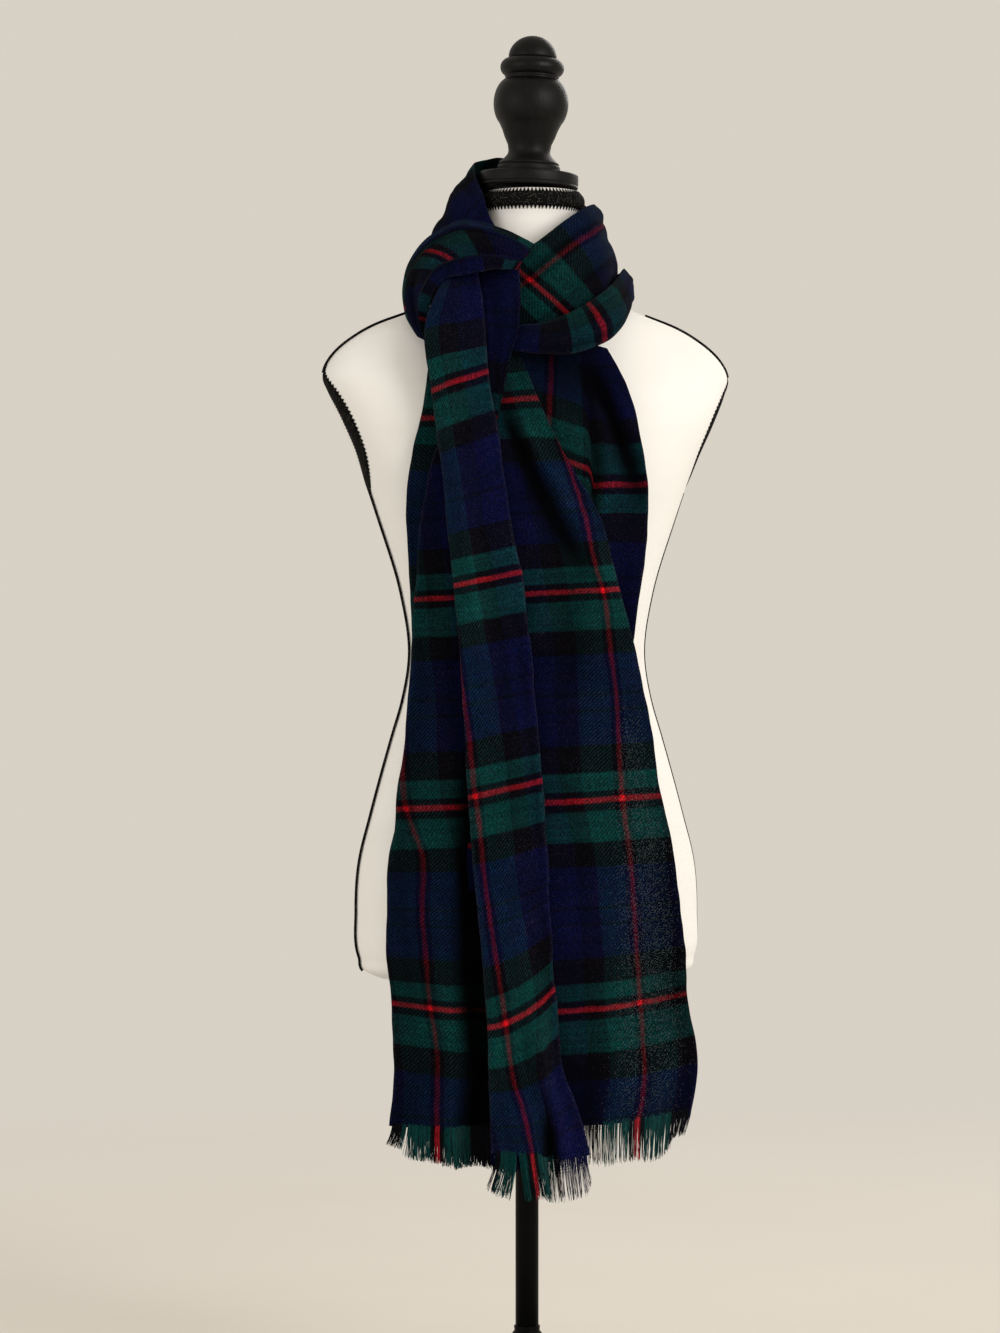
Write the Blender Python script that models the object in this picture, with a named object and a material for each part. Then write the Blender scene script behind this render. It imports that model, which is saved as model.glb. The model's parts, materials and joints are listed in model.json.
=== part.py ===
"""A tartan blanket scarf looped round the neck of a limbless dress form on a pole stand.

Run with: blender --background --python part.py
+Z is up, the front faces -Y, and the origin is on the pole's axis, at the underside of the base plate.
Sizes are in millimetres, and become metres where a mesh is made.
"""

import math

import bmesh
import bpy
import numpy as np

MM = 0.001
GAP = 0.3  # between pieces that touch

# Stand
PLATE_RADIUS, PLATE_RIM, PLATE_TOP = 160, 9, 21
HUB_TOP, HUB_RADIUS, HUB_NECK = 65, 27, 17
POLE_RADIUS = 11.2

# Dress form
FORM_TURN = math.radians(10)  # its front faces a little to +X
FORM_BOTTOM, NECK_TOP = 404, 1163.5
NECK_LEAN = 5  # the neck's top stands this far to +X of the pole
CAP_TILT = math.radians(2)
CAP_BASE, CAP_RADIUS, CAP_HEIGHT = 1167.5, 48.5, 14
TAPE_THICK, TAPE_LIFT = 1.4, 1.0
PIPING_WIDE, PIPING_TALL, PIPING_LIFT = 3.6, 1.6, 1.1
ARMHOLE_HEIGHT, ARMHOLE_BACK = 937, math.radians(11)  # its middle, and how far it sits behind the side line
BUST_HEIGHT, BUST_OUT, BUST_SPREAD, BUST_APART = 905, 5, 46, 56

# Cloth
CLOTH = 2.0  # thickness of the brushed wool, with its nap
SEGMENTS_IN_ROLL = 4

FORM_COLUMNS = ("height", "half_width", "front", "back", "squareness")
FORM_RINGS = (
    (404, 145, 88, 92, 2.3),
    (409, 156, 98, 102, 2.3),
    (424, 163, 104, 108, 2.3),
    (468, 166, 108, 112, 2.2),
    (515, 163, 106, 112, 2.2),
    (560, 152, 100, 107, 2.2),
    (636, 131, 89, 92, 2.2),
    (670, 121, 85, 84, 2.2),
    (715, 114, 83, 79, 2.2),
    (774, 122, 85, 82, 2.2),
    (843, 143, 90, 92, 2.3),
    (905, 165, 93, 99, 2.5),
    (942, 182, 89, 101, 2.5),
    (968, 193, 83, 99, 2.3),
    (984, 198, 77, 95, 2.1),
    (999, 192, 71, 90, 2.0),
    (1018, 172, 65, 84, 1.9),
    (1033, 146, 60, 77, 1.9),
    (1045, 114, 57, 71, 2.0),
    (1058, 84, 53, 64, 2.0),
    (1078, 61, 50, 56, 2.0),
    (1105, 51, 48, 50, 2.0),
    (1135, 47, 47, 47, 2.0),
    (NECK_TOP - 2, 46.5, 46.5, 46.5, 2.0),
    (NECK_TOP, 44.5, 44.5, 44.5, 2.0),
)

# Each row of a stretch of cloth is a section across it, at a length along the scarf. It runs from edge a to
# edge b, and stands out of the straight line between them by crown. sag is how far its middle hangs below.
STRETCH_COLUMNS = ("along", "ax", "ay", "az", "bx", "by", "bz", "crown", "sag")
TAIL_FRONT = (
    (-98, -76, -86, 1079, -50, -91, 1084, 1, 0),
    (-60, -94, -111, 1033, -43, -112, 1041, 2, 0),
    (0, -90, -127, 963, -38, -128, 981, 2, 0),
    (65, -83, -136, 897, -28, -136, 917, 3, 0),
    (130, -77, -141, 839, -19, -141, 855, 3, 0),
    (194, -70, -143, 779, -7, -143, 792, 3, 0),
    (325, -59, -144, 646, 7, -144, 661, 3, 0),
    (452, -50, -143, 513, 18, -143, 532, 3, 1),
    (582, -38, -140, 365, 25, -140, 402, 4, 6),
    (640, -35, -138, 307, 32, -136, 335, 6, 8),
    (685, -34, -136, 267, 49, -132, 286, 9, 6),
    (722, -39, -134, 237, 65, -130, 234, 10, 2),
)
TAIL_PLEAT = (
    (-105, -62, -78, 1082, -8, -92, 1085, 2, 0),
    (-60, -56, -96, 1036, -5, -110, 1035, 2, 0),
    (-25, -50, -107, 1004, -13, -114, 1001, 2, 0),
    (5, -46, -115, 968, -22, -117, 964, 1, 0),
    (35, -42, -121, 940, -29, -121, 937, 0.5, 0),
)
TAIL_WIDE = (
    (-55, -62, -100, 1002, -10, -90, 1013, 2, 0),
    (0, -76, -111, 948, 9, -107, 957, 4, 0),
    (50, -86, -118, 903, 33, -116, 906, 8, 0),
    (100, -99, -117, 853, 60, -115, 861, 13, 0),
    (194, -107, -113, 767, 89, -111, 777, 19, 0),
    (300, -113, -110, 661, 112, -108, 670, 22, 0),
    (388, -124, -109, 569, 125, -107, 582, 25, 0),
    (430, -130, -108, 526, 135, -105, 538, 25, 0),
    (480, -133, -108, 479, 143, -104, 486, 25, 3),
    (530, -132, -107, 431, 148, -103, 441, 24, 7),
    (582, -129, -106, 386, 152, -102, 395, 23, 11),
    (655, -126, -104, 308, 161, -100, 313, 21, 12),
    (690, -130, -102, 266, 154, -99, 273, 20, 6),
)
TAIL_UNDER = (
    (-125, -83, -76, 1052, 76, -75, 1006, 2, 0),
    (-90, -86, -84, 1023, 92, -82, 974, 3, 0),
    (-50, -93, -93, 989, 104, -91, 933, 6, 0),
    (0, -100, -101, 943, 114, -98, 881, 9, 0),
    (45, -110, -104, 899, 113, -100, 833, 14, 0),
    (90, -115, -104, 856, 107, -100, 786, 16, 0),
    (135, -113, -104, 804, 100, -100, 740, 16, 0),
    (260, -105, -100, 672, 99, -97, 629, 16, 0),
    (395, -109, -101, 535, 101, -98, 513, 15, 0),
)
LOOP_FRONT = (
    (-105, 8, -93, 1105, -11, -106, 1078, 4, 0),
    (-75, -18, -91, 1117, -28, -112, 1078, 8, 0),
    (-45, -45, -78, 1126, -47, -111, 1076, 9, 0),
    (-18, -69, -62, 1128, -61, -107, 1073, 9, 0),
    (0, -93, -46, 1116, -74, -99, 1072, 8, 0),
    (30, -113, -34, 1092, -85, -92, 1064, 8, 0),
    (60, -119, -38, 1066, -92, -90, 1049, 8, 0),
    (90, -116, -58, 1041, -98, -92, 1030, 7, 0),
    (120, -104, -74, 1020, -97, -94, 1012, 4, 0),
)
WRAP_RIGHT_UPPER = (
    (-40, -41, -76, 1069, 9, -86, 1009, 3, 0),
    (0, -18, -78, 1088, 46, -86, 1031, 6, 0),
    (40, 13, -76, 1111, 68, -75, 1050, 9, 0),
    (80, 45, -57, 1137, 77, -52, 1064, 10, 0),
    (120, 62, -22, 1149, 83, -24, 1074, 8, 0),
    (160, 67, 15, 1149, 86, 14, 1070, 7, 0),
    (205, 60, 48, 1153, 75, 52, 1064, 9, 0),
    (250, 28, 70, 1158, 42, 78, 1060, 10, 0),
    (300, -22, 74, 1150, -12, 88, 1056, 10, 0),
    (350, -62, 66, 1130, -60, 78, 1056, 9, 0),
    (395, -96, 31, 1106, -94, 42, 1060, 5, 0),
    (430, -103, 2, 1096, -103, 8, 1062, 3, 0),
    (460, -98, -26, 1094, -98, -22, 1066, 2, 0),
)
WRAP_RIGHT_LOWER = (
    (-75, -13, -103, 1026, -14, -106, 1001, 3, 0),
    (-50, 13, -105, 1029, 12, -110, 999, 7, 0),
    (-22, 39, -102, 1039, 45, -108, 1001, 8, 0),
    (0, 56, -94, 1049, 72, -98, 1011, 9, 0),
    (25, 74, -76, 1062, 86, -79, 1024, 9, 0),
    (50, 84, -48, 1074, 95, -51, 1040, 7, 0),
    (85, 91, -12, 1086, 102, -14, 1056, 5, 0),
    (125, 94, 24, 1088, 102, 27, 1056, 6, 0),
    (170, 81, 62, 1086, 86, 68, 1048, 8, 0),
    (215, 46, 90, 1080, 48, 98, 1036, 8, 0),
    (270, -16, 99, 1076, -20, 106, 1030, 8, 0),
    (325, -70, 86, 1076, -74, 88, 1034, 8, 0),
    (370, -100, 50, 1080, -104, 50, 1046, 7, 0),
    (410, -110, 8, 1083, -113, 8, 1056, 5, 0),
    (446, -104, -27, 1084, -107, -27, 1060, 3, 0),
)
WRAP_BACK = (
    (0, -28, -50, 1122, -40, -66, 1092, 4, 0),
    (30, -37, -43, 1138, -62, -60, 1078, 9, 0),
    (60, -45, -33, 1160, -84, -40, 1066, 14, 0),
    (95, -50, -12, 1181, -95, -10, 1064, 18, 0),
    (130, -50, 12, 1194, -92, 22, 1062, 17, 0),
    (165, -42, 35, 1200, -74, 48, 1060, 13, 0),
    (200, -24, 50, 1203, -46, 66, 1056, 10, 0),
    (240, 2, 57, 1196, -10, 76, 1054, 8, 0),
    (280, 32, 52, 1180, 32, 70, 1060, 5, 0),
    (315, 51, 36, 1160, 57, 46, 1070, 3, 0),
    (350, 60, 10, 1147, 69, 17, 1080, 3, 0),
    (385, 57, -20, 1138, 69, -16, 1086, 3, 0),
    (410, 51, -36, 1127, 60, -36, 1088, 3, 0),
)

# Broad folds along a stretch: ridges (positive) and troughs (negative), placed by their share of the width.
FOLD_COLUMNS = ("share", "half_width", "height", "begins", "ends")
WIDE_FOLDS = (
    (0.34, 0.10, -7, 150, 900),
    (0.74, 0.10, 4, 260, 900),
    (0.90, 0.08, -4, 430, 900),
)
UNDER_FOLDS = ((0.30, 0.10, -4, -60, 300), (0.78, 0.09, 4, -90, 60))
BACK_FOLDS = ((0.42, 0.13, -6, 60, 300), (0.70, 0.10, 4, 90, 260))
RIGHT_FOLDS = ((0.45, 0.16, -3, 60, 260),)
FADE_IN = 60  # a fold grows to its full height over this length

# What differs from one stretch to the next. A folded edge turns under in a roll of that radius, with a flap.
STRETCHES = {
    "tail_front": dict(rows=TAIL_FRONT, sections=24, across=5, roll_a=3.4, flap_a=16, roll_b=3.4, flap_b=16),
    "tail_pleat": dict(rows=TAIL_PLEAT, sections=8, across=5),
    "tail_wide": dict(rows=TAIL_WIDE, sections=24, across=14, roll_a=2.8, flap_a=22, folds=WIDE_FOLDS),
    "tail_under": dict(rows=TAIL_UNDER, sections=15, across=12, folds=UNDER_FOLDS),
    "loop_front": dict(rows=LOOP_FRONT, sections=18, across=7, roll_a=5.0, flap_a=8),
    "wrap_right_upper": dict(rows=WRAP_RIGHT_UPPER, sections=26, across=8, outward=-1, folds=RIGHT_FOLDS),
    "wrap_right_lower": dict(rows=WRAP_RIGHT_LOWER, sections=28, across=6, outward=-1, roll_b=4.0, flap_b=7),
    "wrap_back": dict(rows=WRAP_BACK, sections=28, across=11, folds=BACK_FOLDS),
}

# Fringe: three-sided strands that hang from a narrow strip below the hem
STRIP_HEIGHT, STRIP_THICK = 3.0, 1.8
STRAND_LENGTH, STRAND_TIP = 34, 0.45
FRINGES = {
    "fringe_front": dict(stretch="tail_front", strands=34, spread=1.05),
    "fringe_wide": dict(stretch="tail_wide", strands=76, spread=1.0),
    "fringe_under": dict(stretch="tail_under", strands=40, spread=1.0),
}


def clear_scene():
    for obj in list(bpy.data.objects):
        bpy.data.objects.remove(obj, do_unlink=True)


def finish(name, colour, roughness, metallic=0.0):
    """The material called name, made the first time that it is asked for."""
    made = bpy.data.materials.get(name)
    if made is None:
        made = bpy.data.materials.new(name)
        made.use_nodes = True
        shader = made.node_tree.nodes["Principled BSDF"]
        shader.inputs["Base Color"].default_value = (*colour, 1)
        shader.inputs["Roughness"].default_value = roughness
        shader.inputs["Metallic"].default_value = metallic
    return made


def tartan():
    return finish("tartan_wool", (0.01, 0.035, 0.07), 0.95)


def jersey():
    return finish("form_jersey", (0.86, 0.84, 0.79), 0.9)


def trim():
    return finish("black_trim", (0.012, 0.012, 0.012), 0.85)


def wood():
    return finish("black_wood", (0.02, 0.019, 0.018), 0.5)


def metal():
    return finish("black_metal", (0.015, 0.015, 0.016), 0.35, 0.6)


def add_object(name, points, faces, material):
    """A mesh object from points in millimetres, its faces turned outwards where it is closed."""
    mesh = bpy.data.meshes.new(name)
    mesh.from_pydata([tuple(float(x) * MM for x in p) for p in points], [], [tuple(f) for f in faces])
    mesh.materials.append(material)
    build = bmesh.new()
    build.from_mesh(mesh)
    if all(edge.is_manifold for edge in build.edges):
        bmesh.ops.recalc_face_normals(build, faces=build.faces)
    build.to_mesh(mesh)
    build.free()
    mesh.shade_smooth()
    obj = bpy.data.objects.new(name, mesh)
    bpy.context.scene.collection.objects.link(obj)
    return obj


def smooth(knots, values, at):
    """A smooth curve through a table's rows, each column read at the places in at."""
    knots, values = np.asarray(knots, float), np.asarray(values, float)
    steps = np.diff(knots)[:, None]
    slopes = np.diff(values, axis=0) / steps
    inner = (slopes[:-1] * steps[1:] + slopes[1:] * steps[:-1]) / (steps[:-1] + steps[1:])
    tangents = np.vstack([slopes[:1], inner, slopes[-1:]])
    i = np.clip(np.searchsorted(knots, at, side="right") - 1, 0, len(knots) - 2)
    h = steps[i]
    t = ((at - knots[i]) / h[:, 0])[:, None]
    return (
        (2 * t**3 - 3 * t**2 + 1) * values[i]
        + (t**3 - 2 * t**2 + t) * h * tangents[i]
        + (3 * t**2 - 2 * t**3) * values[i + 1]
        + (t**3 - t**2) * h * tangents[i + 1]
    )


# --- Dress form ---


def superellipse(angle, size, power):
    return size * np.sign(angle) * np.abs(angle) ** (2 / power)


def form_point(height, angle):
    """A point of the torso's surface. angle is 0 at the front and grows towards +X."""
    height, angle = np.broadcast_arrays(np.asarray(height, float), np.asarray(angle, float))
    shape = height.shape
    rings = smooth([r[0] for r in FORM_RINGS], [r[1:] for r in FORM_RINGS], height.ravel())
    half_width, front, back, power = (c.reshape(shape) for c in rings.T)
    sine, cosine = np.sin(angle), np.cos(angle)
    x = superellipse(sine, half_width, power)
    y = -superellipse(cosine, np.where(cosine > 0, front, back), power)
    away = ((np.abs(x) - BUST_APART) / BUST_SPREAD) ** 2 + ((height - BUST_HEIGHT) / BUST_SPREAD) ** 2
    y = y - BUST_OUT * np.exp(-away) * np.clip(cosine, 0, 1)
    lean = NECK_LEAN * np.clip((height - 1047) / (NECK_TOP - 1047), 0, 1)
    turned_x = x * math.cos(FORM_TURN) - y * math.sin(FORM_TURN) + lean
    turned_y = x * math.sin(FORM_TURN) + y * math.cos(FORM_TURN)
    return np.stack([turned_x, turned_y, height], axis=-1)


def form_normal(height, angle):
    """The outward direction at a point of the torso's surface."""
    d = 0.5
    up = form_point(np.asarray(height) + d, angle) - form_point(np.asarray(height) - d, angle)
    round_it = form_point(height, np.asarray(angle) + 0.01) - form_point(height, np.asarray(angle) - 0.01)
    normal = np.cross(round_it, up)
    return normal / np.linalg.norm(normal, axis=-1, keepdims=True)


def closed_rings(rings):
    """Faces that join rings of equal size one after another, with a cap at each end."""
    count, size = len(rings), len(rings[0])
    faces = [
        (i * size + j, i * size + (j + 1) % size, (i + 1) * size + (j + 1) % size, (i + 1) * size + j)
        for i in range(count - 1)
        for j in range(size)
    ]
    return faces + [tuple(range(size))[::-1], tuple((count - 1) * size + j for j in range(size))]


def loop_of_rings(count, size):
    """Faces that join rings of equal size into a closed loop, the last to the first."""
    return [
        (i * size + j, i * size + (j + 1) % size, (i + 1) % count * size + (j + 1) % size, (i + 1) % count * size + j)
        for i in range(count)
        for j in range(size)
    ]


def make_torso(segments=32):
    heights = np.array([r[0] for r in FORM_RINGS], float)
    wide_gaps = np.diff(heights) > 34
    heights = np.sort(np.concatenate([heights, (heights[:-1] + heights[1:])[wide_gaps] / 2]))
    angles = np.linspace(0, 2 * math.pi, segments, endpoint=False)
    rings = [form_point(h, angles) for h in heights]
    add_object("torso", np.concatenate(rings), closed_rings(rings), jersey())


def lying_tape(name, inner, outer, material):
    """A closed flat tape on the torso: its inner and outer edges are rows of (height, angle)."""
    across = np.linspace(inner, outer, 4)
    place, out = form_point(*across.transpose(2, 0, 1)), form_normal(*across.transpose(2, 0, 1))
    under, top = place + TAPE_LIFT * out, place + (TAPE_LIFT + TAPE_THICK) * out
    rings = np.concatenate([under, top[::-1]]).transpose(1, 0, 2)
    add_object(name, rings.reshape(-1, 3), loop_of_rings(*rings.shape[:2]), material)


def make_armhole_tape(name, side, count=24):
    """The lace tape round the arm plate, an oval ring on one side of the torso."""
    centre = side * (math.pi / 2 + ARMHOLE_BACK)
    turns = np.linspace(0, 2 * math.pi, count, endpoint=False)
    inner = [(ARMHOLE_HEIGHT + 36 * math.sin(t), centre + math.radians(12) * math.cos(t)) for t in turns]
    outer = [(ARMHOLE_HEIGHT + 47 * math.sin(t), centre + math.radians(24) * math.cos(t)) for t in turns]
    lying_tape(name, inner, outer, trim())


def make_neck_tape(count=26):
    angles = np.linspace(0, 2 * math.pi, count, endpoint=False)
    lower = [(1144, a) for a in angles]
    upper = [(1160, a) for a in angles]
    lying_tape("neck_tape", lower, upper, trim())


def make_piping(name, side, low, high, count):
    """A thin cord along the torso's side line, between two heights."""
    angle = side * math.pi / 2
    heights = np.linspace(low, high, count)
    middle = form_point(heights, np.full(count, angle))
    out = form_normal(heights, np.full(count, angle))
    middle = middle + out * (PIPING_TALL / 2 + PIPING_LIFT)
    along = np.gradient(middle, axis=0)
    across = np.cross(along, out)
    across /= np.linalg.norm(across, axis=1, keepdims=True)
    corners = np.linspace(0, 2 * math.pi, 6, endpoint=False)
    rings = [
        [m + PIPING_TALL / 2 * math.cos(c) * o + PIPING_WIDE / 2 * math.sin(c) * a for c in corners]
        for m, o, a in zip(middle, out, across)
    ]
    add_object(name, np.concatenate(rings), closed_rings(rings), trim())


def turned(name, outline, material, segments=28, place=(0, 0, 0), tilt=0.0):
    """A piece turned on a lathe: outline is (radius, height) from its top to its bottom, on the axis at both."""
    mesh = bpy.data.meshes.new(name)
    points = [(r * MM, 0, z * MM) for r, z in outline]
    mesh.from_pydata(points, [(i, i + 1) for i in range(len(points) - 1)], [])
    mesh.materials.append(material)
    obj = bpy.data.objects.new(name, mesh)
    bpy.context.scene.collection.objects.link(obj)
    obj.location = [p * MM for p in place]
    obj.rotation_euler = (0, tilt, 0)
    screw = obj.modifiers.new("turn", "SCREW")
    screw.steps = screw.render_steps = segments
    screw.use_merge_vertices = True
    screw.merge_threshold = 0.0001
    screw.use_smooth_shade = True
    return obj


def arc(centre_r, centre_z, radius_r, radius_z, start, end, count):
    """Points of an elliptical arc in a turned outline, angles in degrees from straight out."""
    angles = np.radians(np.linspace(start, end, count))
    return [(centre_r + radius_r * math.cos(a), centre_z + radius_z * math.sin(a)) for a in angles]


def make_cap_and_finial():
    place = (1, 0, CAP_BASE)
    cap = [(0, CAP_HEIGHT), (46.5, CAP_HEIGHT), (CAP_RADIUS, CAP_HEIGHT - 1.5), (CAP_RADIUS, 1), (47.5, 0), (0, 0)]
    turned("neck_cap", cap, wood(), 32, place, CAP_TILT)
    base = CAP_HEIGHT + GAP
    outline = [(0, base + 133.5)]
    outline += arc(0, base + 112, 23.5, 21.5, 78, 6, 5)
    outline += [(24, base + 111.5)]
    outline += arc(22, base + 102.5, 9, 9, 70, -55, 5)
    outline += [(28, base + 92)]
    outline += arc(20, base + 68, 16.4, 25, 62, -48, 7)
    outline += [(24.5, base + 35), (21.3, base + 28), (20.3, base + 22), (22, base + 17), (28.5, base + 10.5)]
    outline += [(29.5, base + 8), (30.5, base + 6.5), (30.5, base + 1), (30, base), (0, base)]
    turned("finial", outline, wood(), 22, place, CAP_TILT)


def make_stand():
    dome = [(0, PLATE_TOP), (60, PLATE_TOP - 1.5), (120, PLATE_RIM + 5), (PLATE_RADIUS - 5, PLATE_RIM)]
    rim = [(PLATE_RADIUS, PLATE_RIM - 4), (PLATE_RADIUS, 1), (PLATE_RADIUS - 1, 0), (0, 0)]
    turned("base_plate", dome + rim, metal(), 40)
    low = PLATE_TOP + GAP
    hub = [(0, HUB_TOP), (POLE_RADIUS + 1.5, HUB_TOP)]
    hub += arc(0, HUB_TOP - 16, HUB_NECK, 16, 44, 0, 4)
    hub += [(HUB_NECK + 1, low + 14), (HUB_RADIUS - 2, low + 6), (HUB_RADIUS, low + 4), (HUB_RADIUS, low), (0, low)]
    turned("hub", hub, metal(), 24)
    pole = [(0, FORM_BOTTOM - GAP), (POLE_RADIUS, FORM_BOTTOM - GAP), (POLE_RADIUS, HUB_TOP + GAP), (0, HUB_TOP + GAP)]
    turned("pole", pole, metal(), 24)


# --- Scarf ---


def fold_heights(folds, shares, along):
    """How far the cloth stands out at each place for its broad folds, as rows along by columns across."""
    height = np.zeros((len(along), len(shares)))
    for share, half_width, tall, begins, ends in folds:
        grow = np.clip((along - begins) / FADE_IN, 0, 1) * np.clip((ends - along) / FADE_IN, 0, 1)
        height += tall * (grow * grow * (3 - 2 * grow))[:, None] * np.exp(-(((shares - share) / half_width) ** 2))
    return height


def section_profile(width, crown, spec):
    """Each section's outline, from the flap under edge a to the flap under edge b: how far across and how far out."""
    roll_a, roll_b = spec.get("roll_a", 0), spec.get("roll_b", 0)
    shares = np.linspace(0, 1, spec["across"])
    across = roll_a + shares * (width - roll_a - roll_b)[:, None]

    def lift(place):
        return crown * (1 - np.abs(2 * place / width[:, None] - 1) ** 2.2)

    out = lift(across) + fold_heights(spec.get("folds", ()), shares, spec["along"])
    turn = np.linspace(0, math.pi, SEGMENTS_IN_ROLL + 1)[1:]
    if roll_a:
        edge = lift(np.full_like(width, roll_a)[:, None])
        flap = np.full_like(width, roll_a + spec["flap_a"])[:, None]
        side = roll_a - roll_a * np.sin(turn[::-1])[None, :] + 0 * edge
        under = edge - roll_a + roll_a * np.cos(turn[::-1])[None, :]
        across = np.hstack([flap, side, across])
        out = np.hstack([lift(flap) - 2 * roll_a, under, out])
    if roll_b:
        edge = lift((width - roll_b)[:, None])
        flap = (width - roll_b - spec["flap_b"])[:, None]
        side = width[:, None] - roll_b + roll_b * np.sin(turn)[None, :]
        under = edge - roll_b + roll_b * np.cos(turn)[None, :]
        across = np.hstack([across, side, flap])
        out = np.hstack([out, under, lift(flap) - 2 * roll_b])
    return across, out


def cloth_sheet(spec):
    """The middle surface of a stretch, as rows along it of points across it, and each row's outward direction."""
    table = np.array(spec["rows"], float)
    along = np.linspace(table[0, 0], table[-1, 0], spec["sections"])
    columns = smooth(table[:, 0], table[:, 1:], along)
    edge_a, edge_b, crown, sag = columns[:, :3], columns[:, 3:6], columns[:, 6:7], columns[:, 7:8]
    chord = edge_b - edge_a
    width = np.linalg.norm(chord, axis=1)
    chord /= width[:, None]
    forward = np.gradient((edge_a + edge_b) / 2, axis=0)
    forward /= np.linalg.norm(forward, axis=1, keepdims=True)
    outward = np.cross(forward, chord) * spec.get("outward", 1)
    outward /= np.linalg.norm(outward, axis=1, keepdims=True)
    across, out = section_profile(width, crown, {**spec, "along": along})
    hang = sag * (1 - (2 * across / width[:, None] - 1) ** 2)
    points = (
        edge_a[:, None]
        + across[..., None] * chord[:, None]
        + out[..., None] * outward[:, None]
        + hang[..., None] * forward[:, None]
    )
    return points, outward, forward


def make_cloth(name, spec):
    points, _, _ = cloth_sheet(spec)
    rows, columns = points.shape[:2]
    faces = [
        (i * columns + j, (i + 1) * columns + j, (i + 1) * columns + j + 1, i * columns + j + 1)
        for i in range(rows - 1)
        for j in range(columns - 1)
    ]
    obj = add_object(name, points.reshape(-1, 3), faces, tartan())
    shell = obj.modifiers.new("cloth", "SOLIDIFY")
    shell.thickness = CLOTH * MM
    shell.offset = 0
    shell.use_quality_normals = True
    return obj


def hem_line(stretch, count):
    """count points along the last section of a stretch, on its face, with its outward and forward directions."""
    spec = STRETCHES[stretch]
    points, outward, forward = cloth_sheet(spec)
    first = SEGMENTS_IN_ROLL + 1 if spec.get("roll_a") else 0
    hem = points[-1, first : first + spec["across"]]
    lengths = np.concatenate([[0], np.cumsum(np.linalg.norm(np.diff(hem, axis=0), axis=1))])
    at = np.linspace(0.015, 0.985, count) * lengths[-1]
    line = np.stack([np.interp(at, lengths, hem[:, k]) for k in range(3)], axis=1)
    return line, outward[-1], forward[-1]


def make_fringe(name, stretch, strands, spread):
    """A narrow strip below a hem, and a row of three-sided strands that hang from it."""
    chance = np.random.default_rng(len(name))
    line, outward, forward = hem_line(stretch, strands)
    down = np.array([0.0, 0.0, -1.0])
    middle = line.mean(axis=0)
    pitch = np.gradient(line, axis=0)
    top = line + forward * (CLOTH * 0.2 + GAP)
    bottom = top + forward * STRIP_HEIGHT
    front, back = outward * STRIP_THICK / 2, -outward * STRIP_THICK / 2
    half = pitch * 0.26
    points, faces = [], []
    for i in range(strands):
        length = STRAND_LENGTH * chance.uniform(0.9, 1.06)
        fan = (line[i] - middle) * (spread - 1) * 0.3
        sway = pitch[i] * chance.uniform(-0.2, 0.2)
        tip = bottom[i] + down * length + fan + sway
        points += [top[i] + front, top[i] + back]
        points += [bottom[i] + front - half[i], bottom[i] + front + half[i], bottom[i] + back]
        points += [tip + STRAND_TIP * (front - half[i]), tip + STRAND_TIP * (front + half[i]), tip + STRAND_TIP * back]
        top_front, top_back, left, right, rear, tip_left, tip_right, tip_rear = range(8 * i, 8 * i + 8)
        faces += [(top_front, left, right), (tip_left, tip_rear, tip_right)]
        faces += [(left, tip_left, tip_right, right), (right, tip_right, tip_rear, rear), (rear, tip_rear, tip_left, left)]
        if i + 1 < strands:
            faces += [(top_front, right, left + 8, top_front + 8), (top_back, top_back + 8, rear + 8, rear)]
            faces += [(top_front, top_front + 8, top_back + 8, top_back), (right, rear, rear + 8, left + 8)]
    last = 8 * (strands - 1)
    faces += [(0, 1, 4, 2), (last, last + 3, last + 4, last + 1)]
    add_object(name, points, faces, tartan())


def make_scarf():
    for name, spec in STRETCHES.items():
        make_cloth(name, spec)
    for name, spec in FRINGES.items():
        make_fringe(name, **spec)


def make_form():
    make_torso()
    make_neck_tape()
    for side, hand in ((-1, "left"), (1, "right")):
        make_armhole_tape("armhole_tape_" + hand, side)
        make_piping("shoulder_piping_" + hand, side, 988, 1044, 8)
        make_piping("side_piping_" + hand, side, 412, 884, 22)
    make_cap_and_finial()
    make_stand()


clear_scene()
make_form()
make_scarf()
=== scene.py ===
"""How the scarf and its dress form look: the tartan's weave and folds, the fringe, the trims and the light.

Tables are in millimetres and follow the rows that the solids are made from. Meshes are in metres.
"""

import json
import math

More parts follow.
